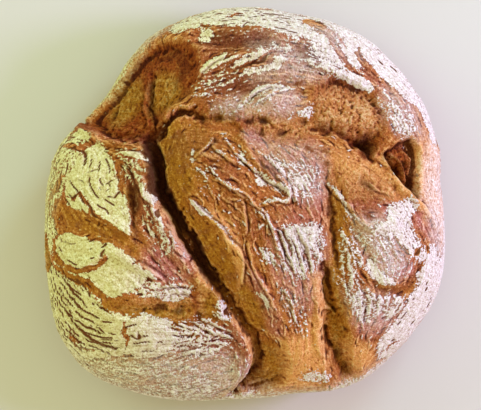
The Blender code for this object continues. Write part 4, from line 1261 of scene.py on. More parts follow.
@dataclass
class Crust:
    """The crust of the loaf as a fine sheet: its relief, its coats and its mesh."""

    body: LoafBody = field(default_factory=LoafBody)
    crazing: Strands = Strands(gap=1.7, shortest=2.0, longest=46.0, wander=0.35, width=0.4)
    creases: Strands = Strands(gap=1.5, shortest=1.5, longest=24.0, wander=0.6)
    threads: Strands = Strands(gap=1.1, shortest=1.5, longest=14.0, wander=0.7)
    ridges: Strands = Strands(gap=1.7, shortest=2.0, longest=40.0, wander=0.7, width=0.34)
    shadow_side: tuple[float, float] = (0.75, 0.6)
    skirt: dict[Coat, float] = field(default_factory=lambda: {Coat.DUST: 0.8, Coat.AMBER: 0.6})
    cells: int = 400
    crowding: float = 0.3
    foot_fade: tuple[float, float] = (150.0, 182.0)
    edge_wander: tuple[tuple[float, float], ...] = ((13.0, 1.6), (5.0, 0.7))
    tear_wander: tuple[tuple[float, float], ...] = ((6.0, 1.3), (2.6, 1.0))
    fine_wander: tuple[tuple[float, float], ...] = ((7.0, 1.1), (2.6, 0.8))
    crust_waves: tuple[tuple[float, float], ...] = ((42.0, 1.3), (17.0, 0.7))
    crumb_waves: tuple[tuple[float, float], ...] = ((11.0, 1.2), (5.5, 0.6))

    def places(self) -> tuple[np.ndarray, np.ndarray]:
        """Places of the crust on a square grid wrapped on to a disc, closest together on top."""
        steps = np.linspace(-1.0, 1.0, self.cells + 1)
        across, up = np.meshgrid(steps, steps)
        upright = np.abs(up) > np.abs(across)
        reach = np.where(upright, up, across)
        ratio = np.where(upright, across, up) / np.where(reach == 0.0, 1.0, reach)
        turn = np.where(upright, math.pi / 2 - ratio * math.pi / 4, ratio * math.pi / 4)
        spread = (1.0 - self.crowding) * reach + self.crowding * np.abs(reach) ** 4 * reach
        radius = self.body.sheet_radius()
        return radius * spread * np.cos(turn), radius * spread * np.sin(turn)

    def hollows(self, east: np.ndarray, north: np.ndarray) -> tuple[np.ndarray, np.ndarray]:
        """Depth of the torn-open hollows, and how much of each place lies in one."""
        depth = np.zeros_like(east)
        bare = np.zeros_like(east)
        for hollow in HOLLOWS:
            near = near_mask(hollow.outline, 2.0 * hollow.slope, east, north)
            edge = hollow.edge(east[near], north[near])
            depth[near] = np.maximum(depth[near], hollow.depth * edge)
            bare[near] = np.maximum(bare[near], edge)
        return depth, bare

    def strokes(self, strokes: Sequence[Stroke], east: np.ndarray, north: np.ndarray) -> np.ndarray:
        """The largest amount that any of the strokes gives at each place."""
        amount = np.zeros_like(east)
        for stroke in strokes:
            stroke.add_to(amount, east, north)
        return amount

    def relief(self, east: np.ndarray, north: np.ndarray) -> np.ndarray:
        """How far the crust stands out from the smooth loaf in its main forms."""
        astray_east = east + NOISE.waves(east, north, self.edge_wander, SEED)
        astray_north = north + NOISE.waves(east, north, self.edge_wander, SEED + 10)
        sunk, bare = self.hollows(astray_east, astray_north)
        relief = sum(bulge.rise(east, north) for bulge in BULGES) * 1.0 - sunk
        relief -= self.strokes(VALLEYS, astray_east, astray_north)
        relief += self.strokes(FOLDS, astray_east, astray_north)
        relief += 0.38 * self.strokes(WRINKLES, astray_east, astray_north)
        ragged_east = astray_east + NOISE.waves(east, north, self.tear_wander, SEED + 80)
        ragged_north = astray_north + NOISE.waves(east, north, self.tear_wander, SEED + 85)
        relief -= self.strokes(TEARS, ragged_east, ragged_north)
        relief += NOISE.waves(east, north, self.crust_waves, SEED + 20)
        relief += bare * NOISE.waves(east, north, self.crumb_waves, SEED + 30)
        return relief

    def edges(self, east: np.ndarray, north: np.ndarray) -> tuple[np.ndarray, np.ndarray]:
        """Where the tops of the wrinkles and the creases beside them run, for their relief and their painted highlight
        and shade.
        """
        crest = np.zeros_like(east)
        groove = np.zeros_like(east)
        astray_east = east + NOISE.waves(east, north, self.edge_wander, SEED)
        astray_north = north + NOISE.waves(east, north, self.edge_wander, SEED + 10)
        for wrinkle in WRINKLES:
            wrinkle.edge_to(crest, groove, astray_east, astray_north)
        return crest, groove

    def coats(self, east: np.ndarray, north: np.ndarray) -> dict[Coat, np.ndarray]:
        """How much of each coat lies at each place."""
        astray_east = east + NOISE.waves(east, north, self.fine_wander, SEED + 40)
        astray_north = north + NOISE.waves(east, north, self.fine_wander, SEED + 50)
        tables = {Coat.FLOUR: FLOUR, Coat.SMEAR: SMEAR, Coat.BARE: BARE, Coat.DUST: DUST,
                  Coat.CRUMB: CRUMB, Coat.OCHRE: OCHRE, Coat.BLUSH: BLUSH, Coat.AMBER: AMBER, Coat.BAKED: BAKED,
                  Coat.DARK: DARK, Coat.CRACK: CRACKS, Coat.CRAZED: CRAZED}
        covers = {}
        for coat, shapes in tables.items():
            cover = np.zeros_like(east)
            for shape in shapes:
                shape.cover(astray_east, astray_north, cover)
            covers[coat] = cover
        for coat, amount in self.skirt.items():
            covers[coat] = np.maximum(covers[coat], amount * self.on_side(east, north))
        reach = np.hypot(east, north) + NOISE.waves(east, north, ((26.0, 4.0), (9.0, 2.5)), SEED + 46)
        thinning = 0.74 * smooth_step(128.0, 138.0, reach) * (1.0 - smooth_step(136.0, 172.0, reach))
        covers[Coat.FLOUR] = np.maximum(covers[Coat.FLOUR], thinning)
        return covers

    def on_side(self, east: np.ndarray, north: np.ndarray) -> np.ndarray:
        """How much of each place lies on the steep side, where thin flour stays."""
        reach = np.hypot(east, north) + NOISE.waves(east, north, ((30.0, 3.0), (11.0, 2.0)), SEED + 45)
        return smooth_step(134.0, 142.0, reach) * (1.0 - smooth_step(148.0, 176.0, reach))

    def lines(self, stretch: Stretch, bearing: np.ndarray, east: np.ndarray,
              north: np.ndarray) -> dict[str, np.ndarray]:
        """The thin lines that follow the pull: cracks in the flour, creases, pale ridges and threads of flour, and the
        painted shadow beside ridges and threads.

        Args:
            stretch: the crust's stretch.
            bearing: the pull's bearing on its raster.
            east: how far east each place lies.
            north: how far north each place lies.

        Returns:
            How much of each place lies on a line of each kind.
        """
        coats = self.coats(*stretch.raster(self.crazing.cell))
        floured = coats[Coat.FLOUR] - coats[Coat.BARE]
        skin = np.clip(1.0 - 1.4 * coats[Coat.CRUMB], 0.0, 1.0) * (1.0 - smooth_step(0.5, 0.9, floured))
        skin *= 1.0 - np.maximum(coats[Coat.DARK], self.on_side(*stretch.raster(self.crazing.cell)))
        plain = 0.34 * skin * (1.0 - 0.65 * np.maximum(coats[Coat.OCHRE], coats[Coat.AMBER]))
        # Ridges are slightly raised lines on which the finish paints a highlight; the creases are painted darker as
        # shade.
        wanted = {"crazing": (self.crazing, coats[Coat.CRAZED]),
                  "crease": (self.creases, (0.42 - 0.26 * np.maximum(coats[Coat.OCHRE], coats[Coat.AMBER])) * skin),
                  "ridge": (self.ridges, 0.5 * skin * (1.0 - 0.95 * np.maximum(coats[Coat.OCHRE], coats[Coat.AMBER]))),
                  "thread": (self.threads, np.clip(1.6 * (coats[Coat.SMEAR] - coats[Coat.BARE]), plain, 1.0))}
        found = {}
        shade = np.zeros_like(east)
        aside_east, aside_north = self.shadow_side
        for number, (name, (strands, cover)) in enumerate(wanted.items()):
            drawn = strands.draw(cover, stretch, bearing, SEED + 90 + 5 * number)
            found[name] = stretch.sample(drawn, east, north)
            if name in ("ridge", "thread"):
                aside = stretch.sample(drawn, east + aside_east, north + aside_north)
                shade = np.maximum(shade, aside - found[name])
        found["shade"] = shade
        return found

    def lean(self, east: np.ndarray, north: np.ndarray) -> tuple[np.ndarray, np.ndarray]:
        """How far the lips of the tears are pushed over them, to the east and to the north."""
        shift_east = np.zeros_like(east)
        shift_north = np.zeros_like(east)
        for tear in TEARS:
            if not tear.lean:
                continue
            near = near_mask(tear.route, 4.0 * tear.right, east, north)
            course = follow(tear.route, east[near], north[near])
            ends = smooth_step(0.0, 0.08, np.minimum(course.share, 1.0 - course.share))
            lip = smooth_step(0.3, 1.1, course.distance / tear.right)
            lip *= 1.0 - smooth_step(1.2, 3.6, course.distance / tear.right)
            push = tear.lean * ends * lip * (course.side < 0)
            shift_east[near] -= push * course.ahead[..., 1]
            shift_north[near] += push * course.ahead[..., 0]
        return shift_east, shift_north

    def fine_relief(self, east: np.ndarray, north: np.ndarray, coats: dict[Coat, np.ndarray],
                    grain: np.ndarray, coarse: np.ndarray, lines: dict[str, np.ndarray]) -> np.ndarray:
        """The small unevenness of flour, wrinkles, cracks and crumb.

        Args:
            east: how far east each place lies.
            north: how far north each place lies.
            coats: how much of each coat lies at each place.
            grain: the fine grain of the crust.
            coarse: its broader wrinkles.
            lines: the thin lines of cracks, creases and threads of flour.

        Returns:
            Heights in millimetres.
        """
        crumb = coats[Coat.CRUMB]
        astray_east = east + NOISE.waves(east, north, ((5.0, 1.8), (2.5, 0.8)), SEED + 67)
        astray_north = north + NOISE.waves(east, north, ((5.0, 1.8), (2.5, 0.8)), SEED + 69)
        pore_small = smooth_step(0.12, 0.42, NOISE.pores(astray_east, astray_north, 2.7, SEED + 60))
        pore_large = smooth_step(0.08, 0.36, NOISE.pores(astray_east, 0.7 * astray_north, 6.2, SEED + 61))
        lumps = NOISE.waves(east, north, ((4.0, 0.5), (2.2, 0.6), (1.4, 0.5)), SEED + 62)
        open_crumb = smooth_step(-0.1, 0.5, NOISE.waves(east, north, ((14.0, 0.7), (6.0, 0.5)), SEED + 66))
        torn = 1.0 * (pore_small - 1.0) + open_crumb * 1.6 * (pore_large - 1.0) + 0.4 * lumps
        torn += 0.4 * (1.0 - np.abs(2.0 * coarse - 1.0)) + 0.35 * grain
        torn += 0.15 * np.abs(NOISE.waves(east, north, ((4.0, 0.8), (1.8, 0.8)), SEED + 68))
        flour = smooth_step(0.45, 0.7, coats[Coat.FLOUR] - coats[Coat.BARE])
        crests = 1.0 - np.abs(2.0 * coarse - 1.0)
        wrinkles = (1.0 - 0.6 * flour) * (0.9 * crests + 0.5 * grain) + 0.3 * flour * grain
        wrinkles += NOISE.waves(east, north, ((2.4, 0.22), (1.5, 0.18)), SEED + 64)
        wrinkles *= 1.0 - 0.5 * coats[Coat.DUST]
        height = 0.8 * crumb * torn + (1.0 - crumb) * (wrinkles - 1.0) - 0.6
        height += 0.35 * flour + 0.3 * smooth_step(0.5, 0.9, coats[Coat.SMEAR] + grain - 0.5)
        height -= 0.7 * smooth_step(0.35, 0.75, coats[Coat.CRACK]) + 0.5 * lines["crazing"]
        height += (1.0 - crumb) * (0.5 * lines["thread"] - 0.7 * lines["crease"])
        height += 0.25 * lines["fold"] - 0.7 * lines["groove"]
        height += (1.0 - crumb) * (0.3 * lines["ridge"] - 0.4 * lines["shade"])
        height -= 2.2 * coats[Coat.DARK] * crumb
        return height

    def cavity(self, height: np.ndarray, passes: int) -> np.ndarray:
        """How far each place lies below its surroundings."""
        broad = height.copy()
        for _ in range(passes):
            padded = np.pad(broad, 1, mode="edge")
            broad = (padded[:-2, 1:-1] + padded[2:, 1:-1] + padded[1:-1, :-2] + padded[1:-1, 2:]
                     + 2.0 * broad) / 6.0
        return broad - height

    def build(self) -> bpy.types.Object:
        """Builds the loaf's mesh with its coats as attributes.

        Returns:
            The loaf, not yet placed or dressed.
        """
        east, north = self.places()
        stretch = Stretch(self.body.sheet_radius())
        bearing = stretch.bearings()
        grain = stretch.sample(stretch.grain(bearing, 1, SEED + 70), east, north)
        coarse = stretch.sample(stretch.grain(bearing, 9, SEED + 71), east, north)
        coats = self.coats(east, north)
        lines = self.lines(stretch, bearing, east, north)
        lines["fold"], lines["groove"] = self.edges(east, north)
        form = self.relief(east, north)
        height = form + self.fine_relief(east, north, coats, grain, coarse, lines)
        height *= 1.0 - smooth_step(*self.foot_fade, np.hypot(east, north))
        shift_east, shift_north = self.lean(east, north)
        points = self.body.lay(east + shift_east, north + shift_north)
        points += self.body.outward(east, north) * height[..., None]
        points[..., 2] = np.maximum(points[..., 2], 0.0)
        row = self.cells + 1
        corner = (np.arange(self.cells)[:, None] * row + np.arange(self.cells)).ravel()
        faces = np.stack((corner, corner + 1, corner + row + 1, corner + row), -1).tolist()
        rim = np.arange(row * row).reshape(row, row)
        foot = np.concatenate((rim[0, :-1], rim[:-1, -1], rim[-1, :0:-1], rim[:0:-1, 0]))
        faces.append(foot[::-1].tolist())
        mesh = bpy.data.meshes.new("rye_loaf")
        mesh.from_pydata((points.reshape(-1, 3) * MM).tolist(), [], faces)
        layers = {coat.value: cover for coat, cover in coats.items()}
        layers |= lines
        layers["coarse"] = coarse
        # Cavity measures: the finish paints shade in hollows and pits and a highlight on crests from them; hollow also
        # keeps flour out, and crest helps flour catch.
        layers["hollow"] = self.cavity(form, 60)
        layers["pit"] = self.cavity(height, 10)
        layers["crest"] = -self.cavity(height, 4)
        # Painted yellow cast of the fill light on the west side and the north-west, partly the cream of the flour
        # itself.
        west_yellow_cast = 1.0 - smooth_step(-78.0, -40.0, east)
        west_yellow_cast = np.maximum(west_yellow_cast, 0.75 * (1.0 - smooth_step(-20.0, 30.0, east)) * smooth_step(60.0, 80.0, north))
        layers["yellow_cast"] = west_yellow_cast * (1.0 - 0.5 * smooth_step(98.0, 125.0, north)) * smooth_step(-125.0, -60.0, north)
        layers["side"] = smooth_step(118.0, 150.0, np.hypot(east, north))
        for name, values in layers.items():
            attribute = mesh.attributes.new(name, "FLOAT", "POINT")
            attribute.data.foreach_set("value", values.astype(np.float32).ravel())
        pull = (stretch.sample(np.cos(2 * bearing), east, north), stretch.sample(np.sin(2 * bearing), east, north))
        vectors = {"sheet": (east, north), "pull": pull}
        for name, (first, second) in vectors.items():
            attribute = mesh.attributes.new(name, "FLOAT_VECTOR", "POINT")
            values = np.stack((first, second, np.zeros_like(first)), -1)
            attribute.data.foreach_set("vector", values.astype(np.float32).ravel())
        mesh.shade_smooth()
        loaf = bpy.data.objects.new("rye_loaf", mesh)
        bpy.context.scene.collection.objects.link(loaf)
        return loaf


class Nodes:
    """Short hand for wiring a material's nodes."""

    def __init__(self, tree: bpy.types.NodeTree) -> None:
        """Starts on an empty tree."""
        self.tree = tree
        tree.nodes.clear()

    def add(self, kind: str, **settings: object) -> bpy.types.Node:
        """Adds a node and applies its settings."""
        node = self.tree.nodes.new(kind)
        for name, value in settings.items():
            setattr(node, name, value)
        return node

    def feed(self, socket: bpy.types.NodeSocket, value: object) -> None:
        """Links a socket to an output, or sets its value."""
        if isinstance(value, bpy.types.NodeSocket):
            self.tree.links.new(value, socket)
        else:
            socket.default_value = value

    def attribute(self, name: str) -> bpy.types.NodeSocket:
        """A coat that the mesh carries."""
        return self.add("ShaderNodeAttribute", attribute_name=name).outputs["Fac"]

    def math(self, operation: str, *values: object) -> bpy.types.NodeSocket:
        """A sum, product or other plain operation."""
        node = self.add("ShaderNodeMath", operation=operation)
        for socket, value in zip(node.inputs, values):
            self.feed(socket, value)
        return node.outputs[0]

    def step(self, value: object, low: float, high: float, to_low: float = 0.0,
             to_high: float = 1.0) -> bpy.types.NodeSocket:
        """A smooth step of a value from low to high."""
        node = self.add("ShaderNodeMapRange", interpolation_type="SMOOTHSTEP")
        for socket, given in zip(node.inputs, (value, low, high, to_low, to_high)):
            self.feed(socket, given)
        return node.outputs[0]

    def mix(self, share: object, first: object, second: object, blend: str = "MIX") -> bpy.types.NodeSocket:
        """A blend of two colours."""
        node = self.add("ShaderNodeMix", data_type="RGBA", blend_type=blend)
        self.feed(node.inputs[0], share)
        self.feed(node.inputs[6], first)
        self.feed(node.inputs[7], second)
        return node.outputs[2]

    def noise(self, scale: float, detail: float = 3.0, rough: float = 0.6,
              stretch: float = 0.0) -> bpy.types.NodeSocket:
        """Noise through the loaf, with so many waves a metre."""
        place = self.add("ShaderNodeTexCoord").outputs["Object"]
        node = self.add("ShaderNodeTexNoise")
        self.feed(node.inputs["Vector"], place)
        self.feed(node.inputs["Scale"], scale)
        self.feed(node.inputs["Detail"], detail)
        self.feed(node.inputs["Roughness"], rough)
        self.feed(node.inputs["Distortion"], stretch)
        return node.outputs["Fac"]


Colour = tuple[float, float, float, float]


def tone(red: int, green: int, blue: int) -> Colour:
    """Linear colour of a display colour given from 0 to 255."""
    channels = (red / 255.0, green / 255.0, blue / 255.0)
    linear = [c / 12.92 if c <= 0.04045 else ((c + 0.055) / 1.055) ** 2.4 for c in channels]
    return (linear[0], linear[1], linear[2], 1.0)


@dataclass(frozen=True)
class Shades:
    """Deep, middle and light shade of one of the crust's colours."""

    deep: Colour
    middle: Colour
    light: Colour


@dataclass(frozen=True)
class CrustFinish:
    """Floured, browned rye crust with torn crumb between its lobes."""

    crust: Shades = Shades(tone(108, 42, 12), tone(184, 106, 50), tone(246, 186, 128))
    ochre: Shades = Shades(tone(120, 58, 8), tone(180, 118, 32), tone(226, 172, 80))
    blush: Shades = Shades(tone(122, 52, 42), tone(190, 114, 100), tone(246, 202, 192))
    baked: Shades = Shades(tone(84, 30, 12), tone(142, 74, 38), tone(214, 154, 116))
    amber: Shades = Shades(tone(172, 94, 40), tone(236, 168, 100), tone(255, 212, 150))
    crumb_red: Shades = Shades(tone(112, 38, 10), tone(164, 78, 24), tone(200, 120, 52))
    crumb_ochre: Shades = Shades(tone(148, 82, 16), tone(192, 130, 38), tone(224, 176, 96))
    crumb_tan: Shades = Shades(tone(158, 78, 34), tone(230, 158, 92), tone(255, 216, 160))
    # Yellow flour: partly the cream of rye flour, partly a painted cast of the yellow fill light.
    flour_yellow_cast: Shades = Shades(tone(188, 168, 106), tone(232, 224, 168), tone(255, 253, 216))
    flour_cool: Shades = Shades(tone(196, 168, 154), tone(234, 222, 216), tone(255, 252, 250))
    # Dark colour for the dark crumb and specks, and for painted shade in tears, pits, hollows and creases.
    dark: Colour = tone(62, 22, 12)
    crack: Colour = tone(104, 56, 24)

    def shaded(self, nodes: Nodes, share: object, shades: Shades) -> bpy.types.NodeSocket:
        """Blends a colour's three shades by a share from 0 to 1."""
        low = nodes.mix(nodes.step(share, 0.0, 0.55), shades.deep, shades.middle)
        return nodes.mix(nodes.step(share, 0.55, 1.0), low, shades.light)

    def spread(self, nodes: Nodes, value: object, low: float, high: float) -> bpy.types.NodeSocket:
        """Stretches a value so that it runs from 0 to 1 between low and high."""
        node = nodes.add("ShaderNodeMapRange", interpolation_type="LINEAR")
        for socket, given in zip(node.inputs, (value, low, high, 0.0, 1.0)):
            nodes.feed(socket, given)
        return node.outputs[0]

    def drawn_grain(self, nodes: Nodes, fineness: float, reach: float, steps: int) -> bpy.types.NodeSocket:
        """Noise on the crust that is drawn out along the way it was pulled.

        Args:
            nodes: the material's nodes.
            fineness: waves in a millimetre across the pull.
            reach: how far to each side the noise is drawn out, in millimetres.
            steps: how many times it is taken to each side.

        Returns:
            Noise that runs from about 0 to 1.
        """
        sheet = nodes.add("ShaderNodeAttribute", attribute_name="sheet").outputs["Vector"]
        pull = nodes.add("ShaderNodeAttribute", attribute_name="pull").outputs["Vector"]
        parts = nodes.add("ShaderNodeSeparateXYZ")
        nodes.feed(parts.inputs[0], pull)
        bearing = nodes.math("MULTIPLY", nodes.math("ARCTAN2", parts.outputs[1], parts.outputs[0]), 0.5)
        ahead = nodes.add("ShaderNodeCombineXYZ")
        nodes.feed(ahead.inputs[0], nodes.math("COSINE", bearing))
        nodes.feed(ahead.inputs[1], nodes.math("SINE", bearing))
        total = None
        for number in range(-steps, steps + 1):
            move = nodes.add("ShaderNodeVectorMath", operation="MULTIPLY_ADD")
            nodes.feed(move.inputs[0], ahead.outputs[0])
            move.inputs[1].default_value = (reach * number / steps,) * 3
            nodes.feed(move.inputs[2], sheet)
            noise = nodes.add("ShaderNodeTexNoise", noise_dimensions="2D")
            nodes.feed(noise.inputs["Vector"], move.outputs[0])
            noise.inputs["Scale"].default_value = fineness
            noise.inputs["Detail"].default_value = 1.0
            value = noise.outputs["Fac"]
            total = value if total is None else nodes.math("ADD", total, value)
        mean = nodes.math("DIVIDE", total, 2.0 * steps + 1.0)
        return self.spread(nodes, mean, 0.41, 0.59)

    def material(self) -> bpy.types.Material:
        """Wires the finish from the coats that the mesh carries."""
        material = bpy.data.materials.new("rye_crust")
        material.use_nodes = True
        nodes = Nodes(material.node_tree)
        fine = self.spread(nodes, nodes.noise(760.0, 2.0, 0.6), 0.34, 0.66)
        grit = self.spread(nodes, nodes.noise(360.0, 3.0, 0.7), 0.34, 0.66)
        broad = self.spread(nodes, nodes.noise(130.0, 3.0, 0.55), 0.34, 0.66)
        drawn = self.drawn_grain(nodes, 0.75, 3.4, 3)
        coarse = nodes.attribute("coarse")
        crest = self.spread(nodes, nodes.attribute("crest"), -0.35, 0.35)
        crumb = nodes.attribute("crumb")
        amber = nodes.attribute("amber")
        ochre = nodes.attribute("ochre")
        # Skin picks each crust colour's shade: random grain, a painted highlight on small crests, fold tops and
        # ridges, and painted shade in creases.
        skin = nodes.math("MULTIPLY_ADD", grit, 0.3, nodes.math("MULTIPLY_ADD", fine, 0.5, nodes.math(
            "MULTIPLY_ADD", drawn, 0.3, nodes.math("MULTIPLY", crest, 0.6))))
        skin = nodes.math("MULTIPLY_ADD", nodes.attribute("crease"), -0.5, skin)
        fold = nodes.math("MAXIMUM", nodes.attribute("fold"), nodes.math("MULTIPLY", nodes.attribute("ridge"), 0.9))
        skin = nodes.math("MULTIPLY_ADD", fold, 0.6, skin)
        skin = self.spread(nodes, skin, 0.28, 1.36)
        patchy = self.spread(nodes, nodes.noise(75.0, 2.0, 0.5), 0.4, 0.6)
        colour = nodes.mix(nodes.math("MULTIPLY", patchy, 0.45), self.shaded(nodes, skin, self.crust),
                           self.shaded(nodes, skin, self.ochre))
        colour = nodes.mix(ochre, colour, self.shaded(nodes, skin, self.ochre))
        rosy = nodes.math("MULTIPLY", nodes.attribute("blush"), nodes.math("MULTIPLY_ADD", patchy, -0.35, 1.0))
        colour = nodes.mix(rosy, colour, self.shaded(nodes, skin, self.blush))
        colour = nodes.mix(amber, colour, self.shaded(nodes, skin, self.amber))
        colour = nodes.mix(nodes.attribute("baked"), colour, self.shaded(nodes, skin, self.baked))
        blotch = nodes.step(nodes.math("MULTIPLY_ADD", fine, 0.3, broad), 0.72, 1.0, 0.0, 0.5)
        colour = nodes.mix(nodes.math("MULTIPLY", blotch, ochre), colour, self.shaded(nodes, skin, self.baked))
        # Crumb shade from random grain, with a painted highlight on its small crests.
        torn = nodes.math("MULTIPLY_ADD", grit, 0.4, nodes.math("MULTIPLY_ADD", fine, 0.36, nodes.math(
            "MULTIPLY_ADD", broad, 0.34, nodes.math("MULTIPLY", crest, 0.32))))
        torn = self.spread(nodes, torn, 0.3, 1.04)
        inner = nodes.mix(ochre, self.shaded(nodes, torn, self.crumb_red),
                          self.shaded(nodes, torn, self.crumb_ochre))
        inner = nodes.mix(amber, inner, self.shaded(nodes, torn, self.crumb_tan))
        colour = nodes.mix(crumb, colour, inner)
        # Painted shade: darker in pits and deep hollows, on top of the dark crumb of tear floors.
        pit_shade = nodes.step(nodes.attribute("pit"), 0.2, 1.05)
        deep = nodes.step(nodes.attribute("hollow"), 4.5, 9.5, 0.0, 0.85)
        shade_and_dark = nodes.math("MULTIPLY", nodes.attribute("dark"), 0.9)
        shade_and_dark = nodes.math("MAXIMUM", shade_and_dark, nodes.math("MAXIMUM", nodes.math("MULTIPLY", pit_shade, 0.75), deep))
        colour = nodes.mix(shade_and_dark, colour, self.dark)
        specks = nodes.step(nodes.math("MULTIPLY_ADD", broad, 0.25, fine), 1.0, 1.15, 0.0, 0.5)
        colour = nodes.mix(nodes.math("MULTIPLY", specks, nodes.math("SUBTRACT", 1.0, amber)), colour, self.dark)
        crack = nodes.step(nodes.math("MULTIPLY_ADD", fine, 0.12, nodes.attribute("crack")), 0.52, 0.7)
        line = nodes.step(nodes.math("MULTIPLY_ADD", fine, 0.15, nodes.attribute("crazing")), 0.36, 0.6)
        crack = nodes.math("MAXIMUM", crack, line)
        # Painted shade in creases, at the feet of folds and beside ridges and threads.
        crease = nodes.step(nodes.math("MULTIPLY_ADD", grit, 0.2, nodes.attribute("crease")), 0.35, 0.8, 0.0, 0.55)
        crease = nodes.math("MAXIMUM", crease, nodes.math("MULTIPLY", nodes.attribute("groove"), 0.6))
        crease = nodes.math("MAXIMUM", crease, nodes.step(nodes.attribute("shade"), 0.3, 0.8, 0.0, 0.7))
        colour = nodes.mix(crease, colour, self.dark)
        colour = nodes.mix(nodes.math("MULTIPLY", crack, 0.85), colour, self.crack)
        powder = nodes.math("MULTIPLY_ADD", drawn, 0.4, nodes.math("MULTIPLY_ADD", fine, 0.6, nodes.math(
            "MULTIPLY", grit, 0.4)))
        powder = self.spread(nodes, powder, 0.2, 1.05)
        # Flour yellower where the painted yellow cast lies, partly the cream of rye flour.
        flour = nodes.mix(nodes.attribute("yellow_cast"), self.shaded(nodes, powder, self.flour_cool),
                          self.shaded(nodes, powder, self.flour_yellow_cast))
        cloud = nodes.step(nodes.noise(34.0, 3.0, 0.6), 0.35, 0.6, 0.72, 1.0)
        film = nodes.math("MULTIPLY", nodes.attribute("dust"), self.spread(nodes, powder, -0.9, 1.0))
        film = nodes.math("MULTIPLY", nodes.math("MULTIPLY", film, cloud), nodes.step(
            nodes.attribute("hollow"), 1.5, 5.0, 1.0, 0.0))
        film = nodes.math("MULTIPLY", film, nodes.step(shade_and_dark, 0.05, 0.5, 1.0, 0.0))
        colour = nodes.mix(film, colour, flour)
        cover = self.flour_cover(nodes, fine, grit, drawn, coarse, crack, crest)
        colour = nodes.mix(cover, colour, flour)
        shader = nodes.add("ShaderNodeBsdfPrincipled")
        nodes.feed(shader.inputs["Base Color"], colour)
        shader.inputs["IOR"].default_value = 1.4
        shader.inputs["Specular IOR Level"].default_value = 0.25
        nodes.feed(shader.inputs["Roughness"], nodes.step(nodes.math("MAXIMUM", cover, shade_and_dark), 0.0, 1.0, 0.6, 0.95))
        bump = nodes.add("ShaderNodeBump")
        bump.inputs["Strength"].default_value = 0.8
        bump.inputs["Distance"].default_value = 0.0013
        rough = nodes.math("MULTIPLY", grit, nodes.math("MULTIPLY_ADD", crumb, 1.3, 0.3))
        texture = nodes.math("ADD", nodes.math("MULTIPLY_ADD", drawn, 0.35, nodes.math("MULTIPLY", fine, 0.4)), rough)
        texture = nodes.math("MULTIPLY_ADD", cover, 0.35, nodes.math("MULTIPLY_ADD", crack, -0.6, texture))
        nodes.feed(bump.inputs["Height"], texture)
        nodes.feed(shader.inputs["Normal"], bump.outputs[0])
        output = nodes.add("ShaderNodeOutputMaterial")
        nodes.feed(output.inputs["Surface"], shader.outputs[0])
        return material

    def flour_cover(self, nodes: Nodes, fine: bpy.types.NodeSocket, grit: bpy.types.NodeSocket,
                    drawn: bpy.types.NodeSocket, coarse: bpy.types.NodeSocket,
                    crack: bpy.types.NodeSocket,
                    crest: bpy.types.NodeSocket) -> bpy.types.NodeSocket:
        """How much flour hides the crust, broken up by its grain.

        Args:
            nodes: the material's nodes.
            fine: the finest noise.
            grit: noise at the size of coarse flour.
            drawn: the crust's fine grain.
            coarse: its wrinkles.
            crack: the cracks.
            crest: the crust's small crests, which catch the flour.

        Returns:
            Share of flour from 0 to 1.
        """
        bare = nodes.attribute("bare")
        broken = nodes.math("MULTIPLY_ADD", coarse, 0.16, nodes.math("MULTIPLY_ADD", drawn, 0.2, nodes.math(
            "MULTIPLY_ADD", fine, 0.32, nodes.math("MULTIPLY", grit, 0.2))))
        broken = nodes.math("MULTIPLY_ADD", crest, 0.2, broken)
        broken = self.spread(nodes, broken, 0.26, 0.82)
        caked = nodes.math("SUBTRACT", nodes.attribute("flour"), bare)
        side = nodes.attribute("side")
        caked = nodes.step(nodes.math("MULTIPLY_ADD", broken, 0.8, caked),
                           nodes.math("MULTIPLY_ADD", side, -0.3, 0.8), nodes.math("MULTIPLY_ADD", side, 0.3, 1.0))
        smeared = nodes.math("MULTIPLY_ADD", drawn, 0.16, nodes.math("MULTIPLY_ADD", fine, 0.24, nodes.math(
            "MULTIPLY_ADD", crest, 0.4, nodes.math("MULTIPLY", grit, 0.28))))
        smeared = self.spread(nodes, smeared, 0.26, 0.82)
        smear = nodes.math("SUBTRACT", nodes.attribute("smear"), bare)
        smear = nodes.step(nodes.math("MULTIPLY_ADD", smeared, 0.8, smear), 0.84, 1.02)
        thread = nodes.math("MULTIPLY_ADD", grit, 0.3, nodes.attribute("thread"))
        smear = nodes.math("MAXIMUM", smear, nodes.step(thread, 0.56, 0.8))
        cover = nodes.math("MAXIMUM", caked, smear)
        cover = nodes.math("MULTIPLY", cover, nodes.step(nodes.attribute("hollow"), 3.0, 7.0, 1.0, 0.0))
        cover = nodes.math("MULTIPLY", cover, nodes.math("MULTIPLY_ADD", nodes.attribute("groove"), -0.9, 1.0))
        return nodes.math("MULTIPLY", cover, nodes.math("SUBTRACT", 1.0, crack))


class Lamp(Enum):
    """The studio's soft lamps, with place, size, power and colour."""

    WINDOW = ((0.95, 0.15, 0.55), 0.3, 8.6, (0.60, 0.48, 1.0))
    CORNER = ((0.55, 0.80, 0.70), 0.4, 3.9, (0.50, 0.82, 1.0))
    FILL = ((-0.85, 0.55, 0.60), 0.8, 3.0, (0.66, 1.0, 0.65))
    FRONT = ((-0.60, -0.90, 0.60), 0.8, 0.9, (0.8, 0.95, 1.0))


